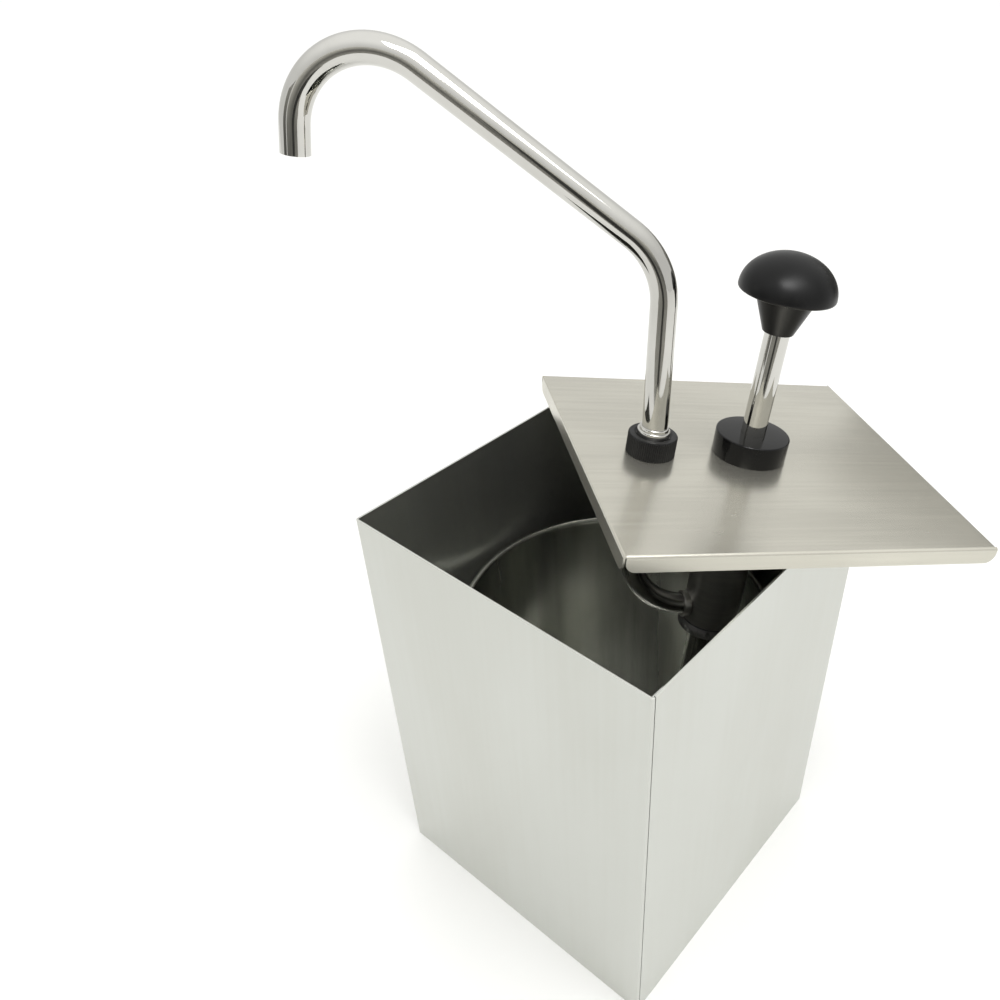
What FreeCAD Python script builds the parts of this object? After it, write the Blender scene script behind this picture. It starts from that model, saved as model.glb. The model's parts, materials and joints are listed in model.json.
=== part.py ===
"""Condiment pump dispenser: a square steel housing, a round inner pot and a lid that carries a plunger pump.

Millimetres. The origin is the centre of the housing's underside, +Z up, X and Y along the housing's sides.
Everything that hangs from the lid is built in the lid's own frame: origin on its top face, on the pump's
axis, z up. It is put in place once, by LID_PLACE: the lid lies askew and tilted on the housing's rim.
"""
import FreeCAD, Part
import math
import os

V = FreeCAD.Vector
Y_AXIS, Z_AXIS = V(0, 1, 0), V(0, 0, 1)

# ---------------------------------------------------------------- clearances
RUN_GAP = 0.05            # radial play of a running or sliding fit
FACE_GAP = 0.3            # air between flat faces of pieces that move apart
SEAT_AIR = 0.1            # air between a screwed-down nut and what it bears on
BALL_GAP = 0.02           # air between a resting ball and its cone

# ---------------------------------------------------------------- housing
SHEET = 1.0               # steel sheet of the housing
HOUSING_SIDE = 180.0
HOUSING_H = 256.0
CORNER_R = 1.4            # outside radius of the folded corners
SEAM_W = 0.5              # butt seam down one corner, where its fold ends
SEAM_DEPTH = 0.5
PAN_FLANGE = 10.0         # upturned flange of the welded base pan

# ---------------------------------------------------------------- inner pot
POT_WALL = 0.8
POT_TO_WALL = 4.3         # air between the rolled rim and the housing's walls
POT_RIM_Z = 184.5         # top of the rolled rim above the housing's underside
BEAD_R = 1.6              # rolled rim
POT_CORNER_R = 14.0       # inside radius where the wall turns into the floor

# ---------------------------------------------------------------- lid
LID_SHEET = 1.0
LID_TO_HOUSING = 0.9      # play of the lid's lip round the housing when it is seated square
LIP = 8.3                 # the lip's height, top face included
LID_BEND_R = 1.5          # outside radius of the fold
LIP_CORNER_R = 5.0        # rounded lower corners of the lip
LIP_SLIT = 0.4            # between one side's fold and the next

# How the lid lies: turned, then tipped down towards one wall, then slid over that wall until the barrel
# nearly leans on the pot's rim
LID_TURN = 52.73
LID_TILT = 9.88
TILT_HEADING = 78.52      # compass direction in plan of the lid's low side, from +X
LID_SLIDE_X = 31.6
BARREL_TO_POT = 3.8       # air between the barrel and the pot's rolled rim
LID_REST_GAP = 0.6        # air under the lip where it crosses the rim

# ---------------------------------------------------------------- pump: barrel
BARREL_R = 15.9
BARREL_WALL = 1.2
BARREL_TOP = 8.6          # above the lid's top face
FLANGE_R = 19.0           # flange that bears on the lid's underside, through a gasket
FLANGE_T = 2.0
GASKET_T = 1.0
CAP_R = 19.2              # cap nut over the barrel's top
CAP_H = 12.0
CAP_ROOF = 2.4
CAP_SKIN = 1.2            # left above the wiper
CAP_EDGE = 0.5

# ---------------------------------------------------------------- pump: plunger
ROD_R = 6.3
ROD_WALL = 1.4
STROKE = 44.0
KNOB_TO_CAP = 10.2        # bare rod left between cap nut and knob when the plunger is down
BUSH_R = 9.4
BUSH_L = 5.0
WIPER_T = 2.0
PISTON_WEB = 1.6          # between the rod's socket and the washer's pocket
PISTON_TOP = 31.0         # depth under the lid's top face, plunger up
PISTON_WAIST_R = 12.2
SEAL_H = 3.0
SPIGOT_L = 6.0            # how far the rod sits in the piston
WASHER_R = 7.5
WASHER_T = 1.2
SCREW_R = 2.5
SCREW_HEAD_R = 4.6
SCREW_HEAD_H = 3.2
SCREW_L = 12.0            # thread in the rod's plug
SCREW_SLOT_W = 1.2
SCREW_SLOT_H = 1.2
ROD_PLUG_L = 16.0

# ---------------------------------------------------------------- knob
NECK_R = 7.9              # neck's lower end
NECK_TOP_R = 15.0
NECK_L = 18.8
KNOB_R = 24.2
KNOB_EDGE = 2.4           # height of the rounded lower edge
KNOB_TO_STUD = 1.0        # depth of the stud's lower end inside the knob
DOME_H = 17.2
INSERT_R = 7.0
INSERT_L = 14.0
STUD_L = 12.0

# ---------------------------------------------------------------- pump: foot valve and dip tube
FOOT_R = 17.2
FOOT_T = 5.0
FOOT_PLUG_L = 2.0         # part of the foot valve inside the barrel
FOOT_SEAL_T = 0.8
INLET_R = 4.0             # bore of the inlet seat
INLET_BALL_R = 6.0
INLET_LIFT = 3.0
CAGE_R = 10.0
CAGE_LEG_R = 1.0
CAGE_LEGS = 3
CAGE_RING_T = 1.4
DIP_R = 8.0
DIP_WALL = 1.0
DIP_SPIGOT_L = 8.0
DIP_TO_FLOOR = 14.0       # air under the dip tube when the lid is seated square
DIP_SLOTS = 4
DIP_SLOT_W = 4.0
DIP_SLOT_H = 9.0

# ---------------------------------------------------------------- return spring
WIRE_R = 0.8
SPRING_R = 12.6           # mean radius of the coils
SPRING_TURNS = 7
SPRING_STEPS = 12         # straight lengths in each turn

# ---------------------------------------------------------------- outlet: riser tube, stub, check ball, nut
OUTLET_X = -53.7          # outlet's axis, from the pump's axis
RISER_R = 6.0
RISER_WALL = 0.9
RISER_IN_WALL = 0.6       # how far the riser's end enters the barrel's wall
PISTON_TO_PORT = 3.5      # between the piston's lowest place and the port
BOSS_WALL = 1.6           # boss on the barrel, round the riser's end
BOSS_L = 2.6
BOSS_TO_END = 0.9         # barrel left below the boss
STUB_R = 10.2             # threaded stub through the lid
STUB_TOP = 7.4
STUB_FLANGE_R = 12.0
STUB_FLANGE_T = 2.4
STUB_SKIRT_R = 7.8
STUB_SKIRT = 12.0         # depth of the stub's lower end
SOCKET_L = 6.0
SEAT_T = 1.6
OUTLET_SEAT_R = 2.6
OUTLET_BALL_R = 3.4
CHAMBER_R = 4.8
NUT_R = 12.5
NUT_LIP = 0.9             # thickness of the lip that holds the ferrule
NUT_FLARE = 1.2           # widening of the nut's opening towards the top
NUT_RIBS = 60
RIB_DEPTH = 0.35
NUT_EDGE = 0.5

# ---------------------------------------------------------------- spout
SPOUT_R = 6.5
SPOUT_WALL = 1.0
SEAL_SECTION = 1.0
SEAL_INSET = 0.6          # the seal's edge inside the stub's
FERRULE_FLANGE_T = 1.2
FERRULE_R = 8.35
FERRULE_STEP_R = 7.4
FERRULE_RISE = 4.2        # above the nut
FERRULE_STEP = 1.7
SPOUT_HEADING = 163.0     # in plan, from the lid's own x axis
SPOUT_LEAN = 5.6          # the riser leans towards the outlet
LEAN_BEND_R = 30.0
SPOUT_RISE = 60.7         # straight part of the riser above its slight bend
LOW_BEND_R = 38.0
SLOPE = 61.5              # angle of the long straight run from the riser's axis
SLOPE_RUN = 109.9
HIGH_BEND_R = 34.5
TIP_ANGLE = 180.0         # the last run points straight down
TIP_RUN = 11.5

# ================================================================ worked-out values
INNER_HALF = HOUSING_SIDE / 2 - SHEET
POT_FLOOR_Z = SHEET + FACE_GAP                       # the pot's underside
POT_R = INNER_HALF - POT_TO_WALL - BEAD_R            # outside of the pot's wall
LID_SIDE = HOUSING_SIDE + 2 * (LID_TO_HOUSING + LID_SHEET)
UNDER = -LID_SHEET                                   # the lid's underside in its own frame
BORE_R = BARREL_R - BARREL_WALL
PISTON_R = BORE_R - 2 * RUN_GAP
HOLE_R = ROD_R + RUN_GAP                             # holes that guide the rod
ROD_BORE_R = ROD_R - ROD_WALL
KNOB_Z = CAP_H + KNOB_TO_CAP + STROKE                # lower end of the knob's neck
RIM_Z = KNOB_Z + NECK_L                              # knob's underside
PISTON_L = SPIGOT_L + PISTON_WEB + WASHER_T + SCREW_HEAD_H
PISTON_END = PISTON_TOP + PISTON_L                   # depth
WASHER_TOP = -PISTON_TOP - SPIGOT_L - PISTON_WEB     # washer and screw head sit in the piston's pocket
PORT_DEPTH = PISTON_END + STROKE + PISTON_TO_PORT + RISER_R
BOSS_R = RISER_R + BOSS_WALL
BARREL_END = PORT_DEPTH + BOSS_R + BOSS_TO_END       # depth of the barrel's lower end
FOOT_TOP = BARREL_END - FOOT_PLUG_L                  # depth of the foot valve's top face
FOOT_BOTTOM = BARREL_END + FOOT_SEAL_T + FOOT_T
DIP_END = HOUSING_H - POT_FLOOR_Z - POT_WALL - DIP_TO_FLOOR + LID_SHEET
RISER_BEND_R = abs(OUTLET_X) - BARREL_R              # the riser turns square into the barrel's side
STUB_AXIS = V(OUTLET_X, 0, 0)
SEAT_TOP = -STUB_SKIRT + SOCKET_L + SEAT_T           # top of the outlet seat's web
FERRULE_BASE = STUB_TOP + SEAL_SECTION
NUT_THREAD_R = STUB_R + RUN_GAP
NUT_THREAD_TOP = FERRULE_BASE + FERRULE_FLANGE_T + SEAT_AIR
NUT_H = NUT_THREAD_TOP + NUT_LIP
FERRULE_TOP = NUT_H + FERRULE_RISE
FERRULE_FLANGE_R = NUT_THREAD_R - 2 * RUN_GAP


# ================================================================ helpers
def cyl(radius, z_low, z_high, x=0.0, y=0.0):
    """Upright cylinder between two heights."""
    return Part.makeCylinder(radius, z_high - z_low, V(x, y, z_low), Z_AXIS)


def ring(r_out, r_in, z_low, z_high, x=0.0, y=0.0):
    """Upright tube between two heights."""
    return cyl(r_out, z_low, z_high, x, y).cut(cyl(r_in, z_low - 1, z_high + 1, x, y))


def turned(points, x=0.0, y=0.0):
    """Solid of revolution about the upright axis; points are (radius, height), in order round the section."""
    corners = [V(radius, 0, height) for radius, height in points]
    face = Part.Face(Part.makePolygon(corners + corners[:1]))
    solid = face.revolve(V(0, 0, 0), Z_AXIS, 360)
    solid.translate(V(x, y, 0))
    return solid


def turned_wire(edges):
    """Solid of revolution about the upright axis of a closed section given as edges."""
    return Part.Face(Part.Wire(edges)).revolve(V(0, 0, 0), Z_AXIS, 360)


def plan_box(half_x, half_y, z_low, z_high):
    """Upright block centred on the axis."""
    return Part.makeBox(2 * half_x, 2 * half_y, z_high - z_low, V(-half_x, -half_y, z_low))


def upright_edges(shape):
    """Straight edges that run along z."""
    found = []
    for edge in shape.Edges:
        start, end = edge.Vertexes[0].Point, edge.Vertexes[-1].Point
        if abs(start.x - end.x) < 1e-6 and abs(start.y - end.y) < 1e-6 and abs(start.z - end.z) > 1e-6:
            found.append(edge)
    return found


class Pen:
    """Draws straight runs and tangent arcs in the plane of a heading and the upright axis."""

    def __init__(self, start, heading, angle):
        self.point = start
        self.across = V(math.cos(math.radians(heading)), math.sin(math.radians(heading)), 0)
        self.angle = angle                           # degrees from straight up
        self.edges = []

    def direction(self, angle):
        turn = math.radians(angle)
        return self.across * math.sin(turn) + Z_AXIS * math.cos(turn)

    def run(self, length):
        end = self.point + self.direction(self.angle) * length
        self.edges.append(Part.LineSegment(self.point, end).toShape())
        self.point = end

    def bend(self, radius, angle):
        side = 1 if angle > self.angle else -1
        centre = self.point + self.direction(self.angle + 90 * side) * radius
        middle_angle = (self.angle + angle) / 2
        middle = centre - self.direction(middle_angle + 90 * side) * radius
        end = centre - self.direction(angle + 90 * side) * radius
        self.edges.append(Part.Arc(self.point, middle, end).toShape())
        self.point = end
        self.angle = angle


def tube(edges, start_direction, r_out, r_in):
    """Round tube along a path of straight runs and tangent arcs."""
    path = Part.Wire(edges)
    start = edges[0].Vertexes[0].Point
    solids = []
    for radius in (r_out, r_in):
        section = Part.Wire(Part.makeCircle(radius, start, start_direction))
        solids.append(path.makePipeShell([section], True, True))
    return solids[0].cut(solids[1])


# ================================================================ housing
def make_housing_shell():
    """Four walls of one folded sheet, with a butt seam down the +X wall, beside the +X -Y corner."""
    half = HOUSING_SIDE / 2
    outer = plan_box(half, half, 0, HOUSING_H)
    outer = outer.makeFillet(CORNER_R, upright_edges(outer))
    inner = plan_box(INNER_HALF, INNER_HALF, -1, HOUSING_H + 1)
    inner = inner.makeFillet(CORNER_R - SHEET, upright_edges(inner))
    seam = Part.makeBox(2 * SEAM_DEPTH, SEAM_W, HOUSING_H + 2, V(half - SEAM_DEPTH, CORNER_R - half, -1))
    return outer.cut(inner).cut(seam)


def make_housing_base():
    """Pan with upturned flanges, welded inside the walls."""
    outer = plan_box(INNER_HALF, INNER_HALF, 0, PAN_FLANGE)
    outer = outer.makeFillet(CORNER_R - SHEET, upright_edges(outer))
    hollow = plan_box(INNER_HALF - SHEET, INNER_HALF - SHEET, SHEET, PAN_FLANGE + 1)
    return outer.cut(hollow)


# ================================================================ inner pot
def make_inner_pot():
    """Deep-drawn round pot with a rolled rim."""
    inner_r = POT_R - POT_WALL
    floor = POT_FLOOR_Z + POT_WALL
    bead_z = POT_RIM_Z - BEAD_R
    outer_turn = POT_CORNER_R + POT_WALL
    s = math.sqrt(0.5)
    below, above = V(0, 0, POT_FLOOR_Z), V(0, 0, floor)
    out_low, out_high = V(POT_R - outer_turn, 0, POT_FLOOR_Z), V(POT_R, 0, POT_FLOOR_Z + outer_turn)
    in_low, in_high = V(inner_r - POT_CORNER_R, 0, floor), V(inner_r, 0, floor + POT_CORNER_R)
    knee_out = V(POT_R - outer_turn * (1 - s), 0, POT_FLOOR_Z + outer_turn * (1 - s))
    knee_in = V(inner_r - POT_CORNER_R * (1 - s), 0, floor + POT_CORNER_R * (1 - s))
    out_top, in_top = V(POT_R, 0, bead_z), V(inner_r, 0, bead_z)
    edges = [
        Part.LineSegment(below, out_low).toShape(),
        Part.Arc(out_low, knee_out, out_high).toShape(),
        Part.LineSegment(out_high, out_top).toShape(),
        Part.LineSegment(out_top, in_top).toShape(),
        Part.LineSegment(in_top, in_high).toShape(),
        Part.Arc(in_high, knee_in, in_low).toShape(),
        Part.LineSegment(in_low, above).toShape(),
        Part.LineSegment(above, below).toShape(),
    ]
    bead = Part.makeTorus(POT_R, BEAD_R, V(0, 0, bead_z), Z_AXIS)
    return turned_wire(edges).fuse(bead)


# ================================================================ lid
def make_lid():
    """The lid's square sheet up to its folds, with two holes for the pump."""
    flat = LID_SIDE / 2 - LID_BEND_R
    barrel_hole = cyl(BARREL_R + RUN_GAP, UNDER - 1, 1)
    stub_hole = cyl(STUB_R + RUN_GAP, UNDER - 1, 1, OUTLET_X)
    return plan_box(flat, flat, UNDER, 0).cut(barrel_hole).cut(stub_hole)


def make_lid_lip(quarter):
    """One side's fold and lip, a quarter turn on from the last.

    It starts a slit away from the lip before it and runs on over the corner, past the lip after it.
    """
    half = LID_SIDE / 2
    flat = half - LID_BEND_R
    start = LIP_SLIT - flat
    lip = turned_quarter(flat, start, half).fuse(lip_plate(start, half)).removeSplitter()
    lip.rotate(V(0, 0, 0), Z_AXIS, 90 * quarter)
    return lip


def turned_quarter(flat, start, end):
    """The fold along the +x side: a quarter of a ring."""
    axis_point = V(flat, start, -LID_BEND_R)
    outer = Part.makeCylinder(LID_BEND_R, end - start, axis_point, Y_AXIS)
    inner = Part.makeCylinder(LID_BEND_R - LID_SHEET, end - start, axis_point, Y_AXIS)
    keep = Part.makeBox(LID_BEND_R, end - start, LID_BEND_R, axis_point)
    return outer.cut(inner).common(keep)


def lip_plate(start, half):
    """The upright lip along the +x side, with rounded lower corners."""
    lip = Part.makeBox(LID_SHEET, half - start, LIP - LID_BEND_R, V(half - LID_SHEET, start, -LIP))
    low = []
    for edge in lip.Edges:
        start, end = edge.Vertexes[0].Point, edge.Vertexes[-1].Point
        if abs(start.x - end.x) > 1e-6 and start.z < -LIP + 1e-6:
            low.append(edge)
    return lip.makeFillet(LIP_CORNER_R, low)


# ================================================================ pump: barrel and cap
def make_barrel():
    """Pump cylinder with its flange under the lid and a boss at the outlet port."""
    flange_top = UNDER - GASKET_T
    barrel = cyl(BARREL_R, -BARREL_END, BARREL_TOP)
    barrel = barrel.fuse(cyl(FLANGE_R, flange_top - FLANGE_T, flange_top))
    boss = Part.makeCylinder(BOSS_R, BARREL_R + BOSS_L, V(0, 0, -PORT_DEPTH), V(-1, 0, 0))
    socket = Part.makeCylinder(RISER_R, BARREL_R + BOSS_L + 1, V(0, 0, -PORT_DEPTH), V(-1, 0, 0))
    return barrel.fuse(boss).cut(cyl(BORE_R, -BARREL_END - 1, BARREL_TOP + 1)).cut(socket).removeSplitter()


def make_barrel_gasket():
    return ring(FLANGE_R, BARREL_R, UNDER - GASKET_T, UNDER)


def make_cap_nut():
    """Round cap over the barrel's top: threaded skirt outside, hub for bush and wiper inside."""
    roof = CAP_H - CAP_ROOF
    hub_end = CAP_H - CAP_SKIN - WIPER_T - BUSH_L
    hub_r = BORE_R - 2 * FACE_GAP
    pocket_top = CAP_H - CAP_SKIN
    return turned([
        (HOLE_R, CAP_H), (CAP_R - CAP_EDGE, CAP_H), (CAP_R, CAP_H - CAP_EDGE), (CAP_R, SEAT_AIR),
        (BARREL_R + RUN_GAP, SEAT_AIR), (BARREL_R + RUN_GAP, roof), (hub_r, roof), (hub_r, hub_end),
        (BUSH_R, hub_end), (BUSH_R, pocket_top), (HOLE_R, pocket_top)])


def make_wiper():
    top = CAP_H - CAP_SKIN
    return ring(BUSH_R, HOLE_R, top - WIPER_T, top)


def make_rod_bush():
    top = CAP_H - CAP_SKIN - WIPER_T
    return ring(BUSH_R, HOLE_R, top - BUSH_L, top)


# ================================================================ pump: plunger
def make_rod():
    return ring(ROD_R, ROD_BORE_R, -PISTON_TOP - SPIGOT_L, KNOB_Z + STUD_L)


def make_rod_plug():
    """Threaded plug in the rod's lower end, which takes the piston's screw."""
    low = -PISTON_TOP - SPIGOT_L
    return cyl(ROD_BORE_R, low, low + ROD_PLUG_L).cut(cyl(SCREW_R, low - 1, low + SCREW_L))


def make_piston():
    """Moulded piston: a socket for the rod on top, a groove for the seal, a pocket for the washer below."""
    top, end = -PISTON_TOP, -PISTON_END
    groove = -(PISTON_TOP + PISTON_END) / 2
    return turned([
        (ROD_R, top), (PISTON_R, top), (PISTON_R, groove + SEAL_H / 2), (PISTON_WAIST_R, groove + SEAL_H / 2),
        (PISTON_WAIST_R, groove - SEAL_H / 2), (PISTON_R, groove - SEAL_H / 2), (PISTON_R, end),
        (WASHER_R, end), (WASHER_R, WASHER_TOP), (SCREW_R, WASHER_TOP), (SCREW_R, top - SPIGOT_L),
        (ROD_R, top - SPIGOT_L)])


def make_piston_seal():
    groove = -(PISTON_TOP + PISTON_END) / 2
    return ring(BORE_R - RUN_GAP, PISTON_WAIST_R, groove - SEAL_H / 2, groove + SEAL_H / 2)


def make_piston_washer():
    return ring(WASHER_R, SCREW_R, WASHER_TOP - WASHER_T, WASHER_TOP)


def make_piston_screw():
    """Screw up through washer and piston into the rod's plug; a slot in its head."""
    head_top = WASHER_TOP - WASHER_T
    head_end = head_top - SCREW_HEAD_H
    screw = cyl(SCREW_HEAD_R, head_end, head_top)
    screw = screw.fuse(cyl(SCREW_R, head_top, -PISTON_TOP - SPIGOT_L + SCREW_L))
    return screw.cut(plan_box(SCREW_HEAD_R, SCREW_SLOT_W / 2, head_end - 1, head_end + SCREW_SLOT_H))


def make_knob():
    """Mushroom knob: flared neck, rounded lower edge, elliptical dome, blind bore for rod and insert."""
    edge_z = RIM_Z + KNOB_EDGE
    top_z = edge_z + DOME_H
    s = math.sqrt(0.5)
    edge_r = KNOB_R - KNOB_EDGE
    dome = Part.BezierCurve()                        # a quarter of an ellipse
    dome.setPoles([V(KNOB_R, 0, edge_z), V(KNOB_R, 0, top_z), V(0, 0, top_z)])
    dome.setWeight(2, s)
    edges = [
        Part.LineSegment(V(0, 0, KNOB_Z), V(NECK_R, 0, KNOB_Z)).toShape(),
        Part.LineSegment(V(NECK_R, 0, KNOB_Z), V(NECK_TOP_R, 0, RIM_Z)).toShape(),
        Part.LineSegment(V(NECK_TOP_R, 0, RIM_Z), V(edge_r, 0, RIM_Z)).toShape(),
        Part.Arc(V(edge_r, 0, RIM_Z), V(edge_r + KNOB_EDGE * s, 0, edge_z - KNOB_EDGE * s),
                 V(KNOB_R, 0, edge_z)).toShape(),
        dome.toShape(),
        Part.LineSegment(V(0, 0, top_z), V(0, 0, KNOB_Z)).toShape(),
    ]
    rod_bore = cyl(ROD_R, KNOB_Z - 1, KNOB_Z + STUD_L)
    insert_bore = cyl(INSERT_R, KNOB_Z + STUD_L, KNOB_Z + STUD_L + INSERT_L)
    return turned_wire(edges).cut(rod_bore).cut(insert_bore)


def make_knob_insert():
    """Threaded metal insert in the knob, with the stud that screws into the rod."""
    low = KNOB_Z + STUD_L
    return cyl(INSERT_R, low, low + INSERT_L).fuse(cyl(ROD_BORE_R, KNOB_Z + KNOB_TO_STUD, low))


# ================================================================ pump: foot valve, ball, cage, dip tube
def make_foot_valve():
    """Plug in the barrel's lower end: a conical inlet seat, a flange below and a spigot for the dip tube."""
    top = -FOOT_TOP
    seat_bottom = top - (INLET_BALL_R - INLET_R)
    shoulder = -BARREL_END - FOOT_SEAL_T
    spigot_r, spigot_end = DIP_R - DIP_WALL, -FOOT_BOTTOM - DIP_SPIGOT_L
    return turned([
        (INLET_BALL_R, top), (BORE_R, top), (BORE_R, shoulder), (FOOT_R, shoulder), (FOOT_R, -FOOT_BOTTOM),
        (spigot_r, -FOOT_BOTTOM), (spigot_r, spigot_end), (INLET_R, spigot_end), (INLET_R, seat_bottom)])


def make_foot_seal():
    return ring(BARREL_R, BORE_R, -BARREL_END - FOOT_SEAL_T, -BARREL_END)


def ball_rest_height(ball_r, bore_r, bore_top):
    """Centre height of a ball on a 45 degree cone that opens upwards from a bore, with the ball's gap."""
    cone_apex = bore_top - bore_r
    return cone_apex + (ball_r + BALL_GAP) / math.sin(math.radians(45))


INLET_BALL_Z = ball_rest_height(INLET_BALL_R, INLET_R, -FOOT_TOP - (INLET_BALL_R - INLET_R))
OUTLET_BALL_Z = ball_rest_height(OUTLET_BALL_R, OUTLET_SEAT_R, SEAT_TOP)
CAGE_TOP = INLET_BALL_Z + INLET_BALL_R + INLET_LIFT + FACE_GAP + CAGE_RING_T


def make_inlet_ball():
    return Part.makeSphere(INLET_BALL_R, V(0, 0, INLET_BALL_Z))


def make_ball_cage():
    """Open cage over the inlet ball: a foot ring, legs and a stop ring."""
    low = -FOOT_TOP
    leg_ring_r = (CAGE_R + INLET_BALL_R + FACE_GAP) / 2 + CAGE_LEG_R / 2
    cage = ring(CAGE_R, INLET_BALL_R + 2 * FACE_GAP, low, low + CAGE_RING_T)
    cage = cage.fuse(ring(CAGE_R, INLET_BALL_R / 2, CAGE_TOP - CAGE_RING_T, CAGE_TOP))
    for leg in range(CAGE_LEGS):
        angle = 2 * math.pi * leg / CAGE_LEGS + math.pi / CAGE_LEGS
        leg_x, leg_y = leg_ring_r * math.cos(angle), leg_ring_r * math.sin(angle)
        cage = cage.fuse(cyl(CAGE_LEG_R, low, CAGE_TOP, leg_x, leg_y))
    return cage.removeSplitter()


def make_dip_tube():
    """Suction tube down towards the pot's floor, with slots so that it can't seal against it."""
    dip = ring(DIP_R, DIP_R - DIP_WALL, -DIP_END, -FOOT_BOTTOM)
    for slot in range(DIP_SLOTS):
        cutter = Part.makeBox(DIP_R + 2, DIP_SLOT_W, DIP_SLOT_H + 1, V(0, -DIP_SLOT_W / 2, -DIP_END - 1))
        cutter.rotate(V(0, 0, 0), Z_AXIS, 360 * slot / DIP_SLOTS)
        dip = dip.cut(cutter)
    return dip


def make_return_spring():
    """Round-wire coil between foot valve and piston, as short straight lengths between round sections."""
    low = -FOOT_TOP + WIRE_R
    rise = -PISTON_END - WIRE_R - low
    steps = SPRING_TURNS * SPRING_STEPS
    sections = []
    for step in range(steps + 1):
        angle = 2 * math.pi * step / SPRING_STEPS
        place = V(SPRING_R * math.cos(angle), SPRING_R * math.sin(angle), low + rise * step / steps)
        along = V(-math.sin(angle), math.cos(angle), rise / (2 * math.pi * SPRING_TURNS * SPRING_R))
        sections.append(Part.Wire(Part.makeCircle(WIRE_R, place, along)))
    return Part.makeLoft(sections, True, True)


# ================================================================ outlet
def make_riser_tube():
    """Outlet tube under the lid: straight down from the stub, then square into the barrel's side."""
    socket_top = -STUB_SKIRT + SOCKET_L
    pen = Pen(V(RISER_IN_WALL - BARREL_R, 0, -PORT_DEPTH), 180, 90)
    pen.run(RISER_IN_WALL)
    pen.bend(RISER_BEND_R, 0)
    pen.run(PORT_DEPTH - RISER_BEND_R + socket_top)
    return tube(pen.edges, V(-1, 0, 0), RISER_R, RISER_R - RISER_WALL).cut(cyl(BORE_R, -BARREL_END, 0))


def make_outlet_stub():
    """Threaded stub through the lid: socket for the riser below, seat and ball chamber inside."""
    socket_top = -STUB_SKIRT + SOCKET_L
    flange_low = UNDER - STUB_FLANGE_T
    return turned([
        (RISER_R, -STUB_SKIRT), (STUB_SKIRT_R, -STUB_SKIRT), (STUB_SKIRT_R, flange_low),
        (STUB_FLANGE_R, flange_low), (STUB_FLANGE_R, UNDER), (STUB_R, UNDER), (STUB_R, STUB_TOP),
        (CHAMBER_R, STUB_TOP), (CHAMBER_R, SEAT_TOP + CHAMBER_R - OUTLET_SEAT_R), (OUTLET_SEAT_R, SEAT_TOP),
        (OUTLET_SEAT_R, socket_top), (RISER_R, socket_top)], OUTLET_X)


def make_outlet_ball():
    return Part.makeSphere(OUTLET_BALL_R, V(OUTLET_X, 0, OUTLET_BALL_Z))


def make_spout_seal():
    """Flat seal on the stub's top, under the ferrule."""
    return ring(STUB_R - SEAL_INSET, CHAMBER_R, STUB_TOP, FERRULE_BASE - SEAT_AIR, OUTLET_X)


def make_spout_nut():
    """Round nut with straight knurling, a lip over the ferrule and an opening that flares upwards."""
    lip_r = FERRULE_R + 2 * RUN_GAP
    corners = []
    for step in range(2 * NUT_RIBS):
        radius = NUT_R if step % 2 == 0 else NUT_R - RIB_DEPTH
        angle = math.pi * step / NUT_RIBS
        corners.append(V(OUTLET_X + radius * math.cos(angle), radius * math.sin(angle), SEAT_AIR))
    knurled = Part.Face(Part.makePolygon(corners + corners[:1])).extrude(V(0, 0, NUT_H - SEAT_AIR))
    envelope = turned([
        (lip_r + NUT_FLARE, NUT_H), (NUT_R - NUT_EDGE, NUT_H), (NUT_R, NUT_H - NUT_EDGE), (NUT_R, SEAT_AIR),
        (NUT_THREAD_R, SEAT_AIR), (NUT_THREAD_R, NUT_THREAD_TOP), (lip_r, NUT_THREAD_TOP),
        (lip_r, NUT_THREAD_TOP + NUT_LIP / 4)], OUTLET_X)
    return knurled.common(envelope)


# ================================================================ spout
def make_ferrule():
    """Turned ring brazed on the spout: a flange held by the nut, then two steps up the tube."""
    return turned([
        (SPOUT_R, FERRULE_BASE), (FERRULE_FLANGE_R, FERRULE_BASE),
        (FERRULE_FLANGE_R, FERRULE_BASE + FERRULE_FLANGE_T), (FERRULE_R, FERRULE_BASE + FERRULE_FLANGE_T),
        (FERRULE_R, FERRULE_TOP - FERRULE_STEP), (FERRULE_STEP_R, FERRULE_TOP - FERRULE_STEP),
        (FERRULE_STEP_R, FERRULE_TOP), (SPOUT_R, FERRULE_TOP)], OUTLET_X)


def spout_pen():
    """The spout's centreline: up out of the ferrule, a slight lean, a long slope and a gooseneck down."""
    pen = Pen(V(OUTLET_X, 0, FERRULE_BASE), SPOUT_HEADING, 0)
    pen.run(FERRULE_TOP - FERRULE_BASE)
    pen.bend(LEAN_BEND_R, SPOUT_LEAN)
    pen.run(SPOUT_RISE - LEAN_BEND_R * math.radians(SPOUT_LEAN))
    pen.bend(LOW_BEND_R, SLOPE)
    pen.run(SLOPE_RUN)
    pen.bend(HIGH_BEND_R, TIP_ANGLE)
    pen.run(TIP_RUN)
    return pen


def make_spout():
    return tube(spout_pen().edges, Z_AXIS, SPOUT_R, SPOUT_R - SPOUT_WALL)


# ================================================================ where the lid lies
def lid_rotation():
    heading = math.radians(TILT_HEADING)
    tilt_axis = V(-math.sin(heading), math.cos(heading), 0)
    return FreeCAD.Rotation(tilt_axis, LID_TILT) * FreeCAD.Rotation(Z_AXIS, LID_TURN)


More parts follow.
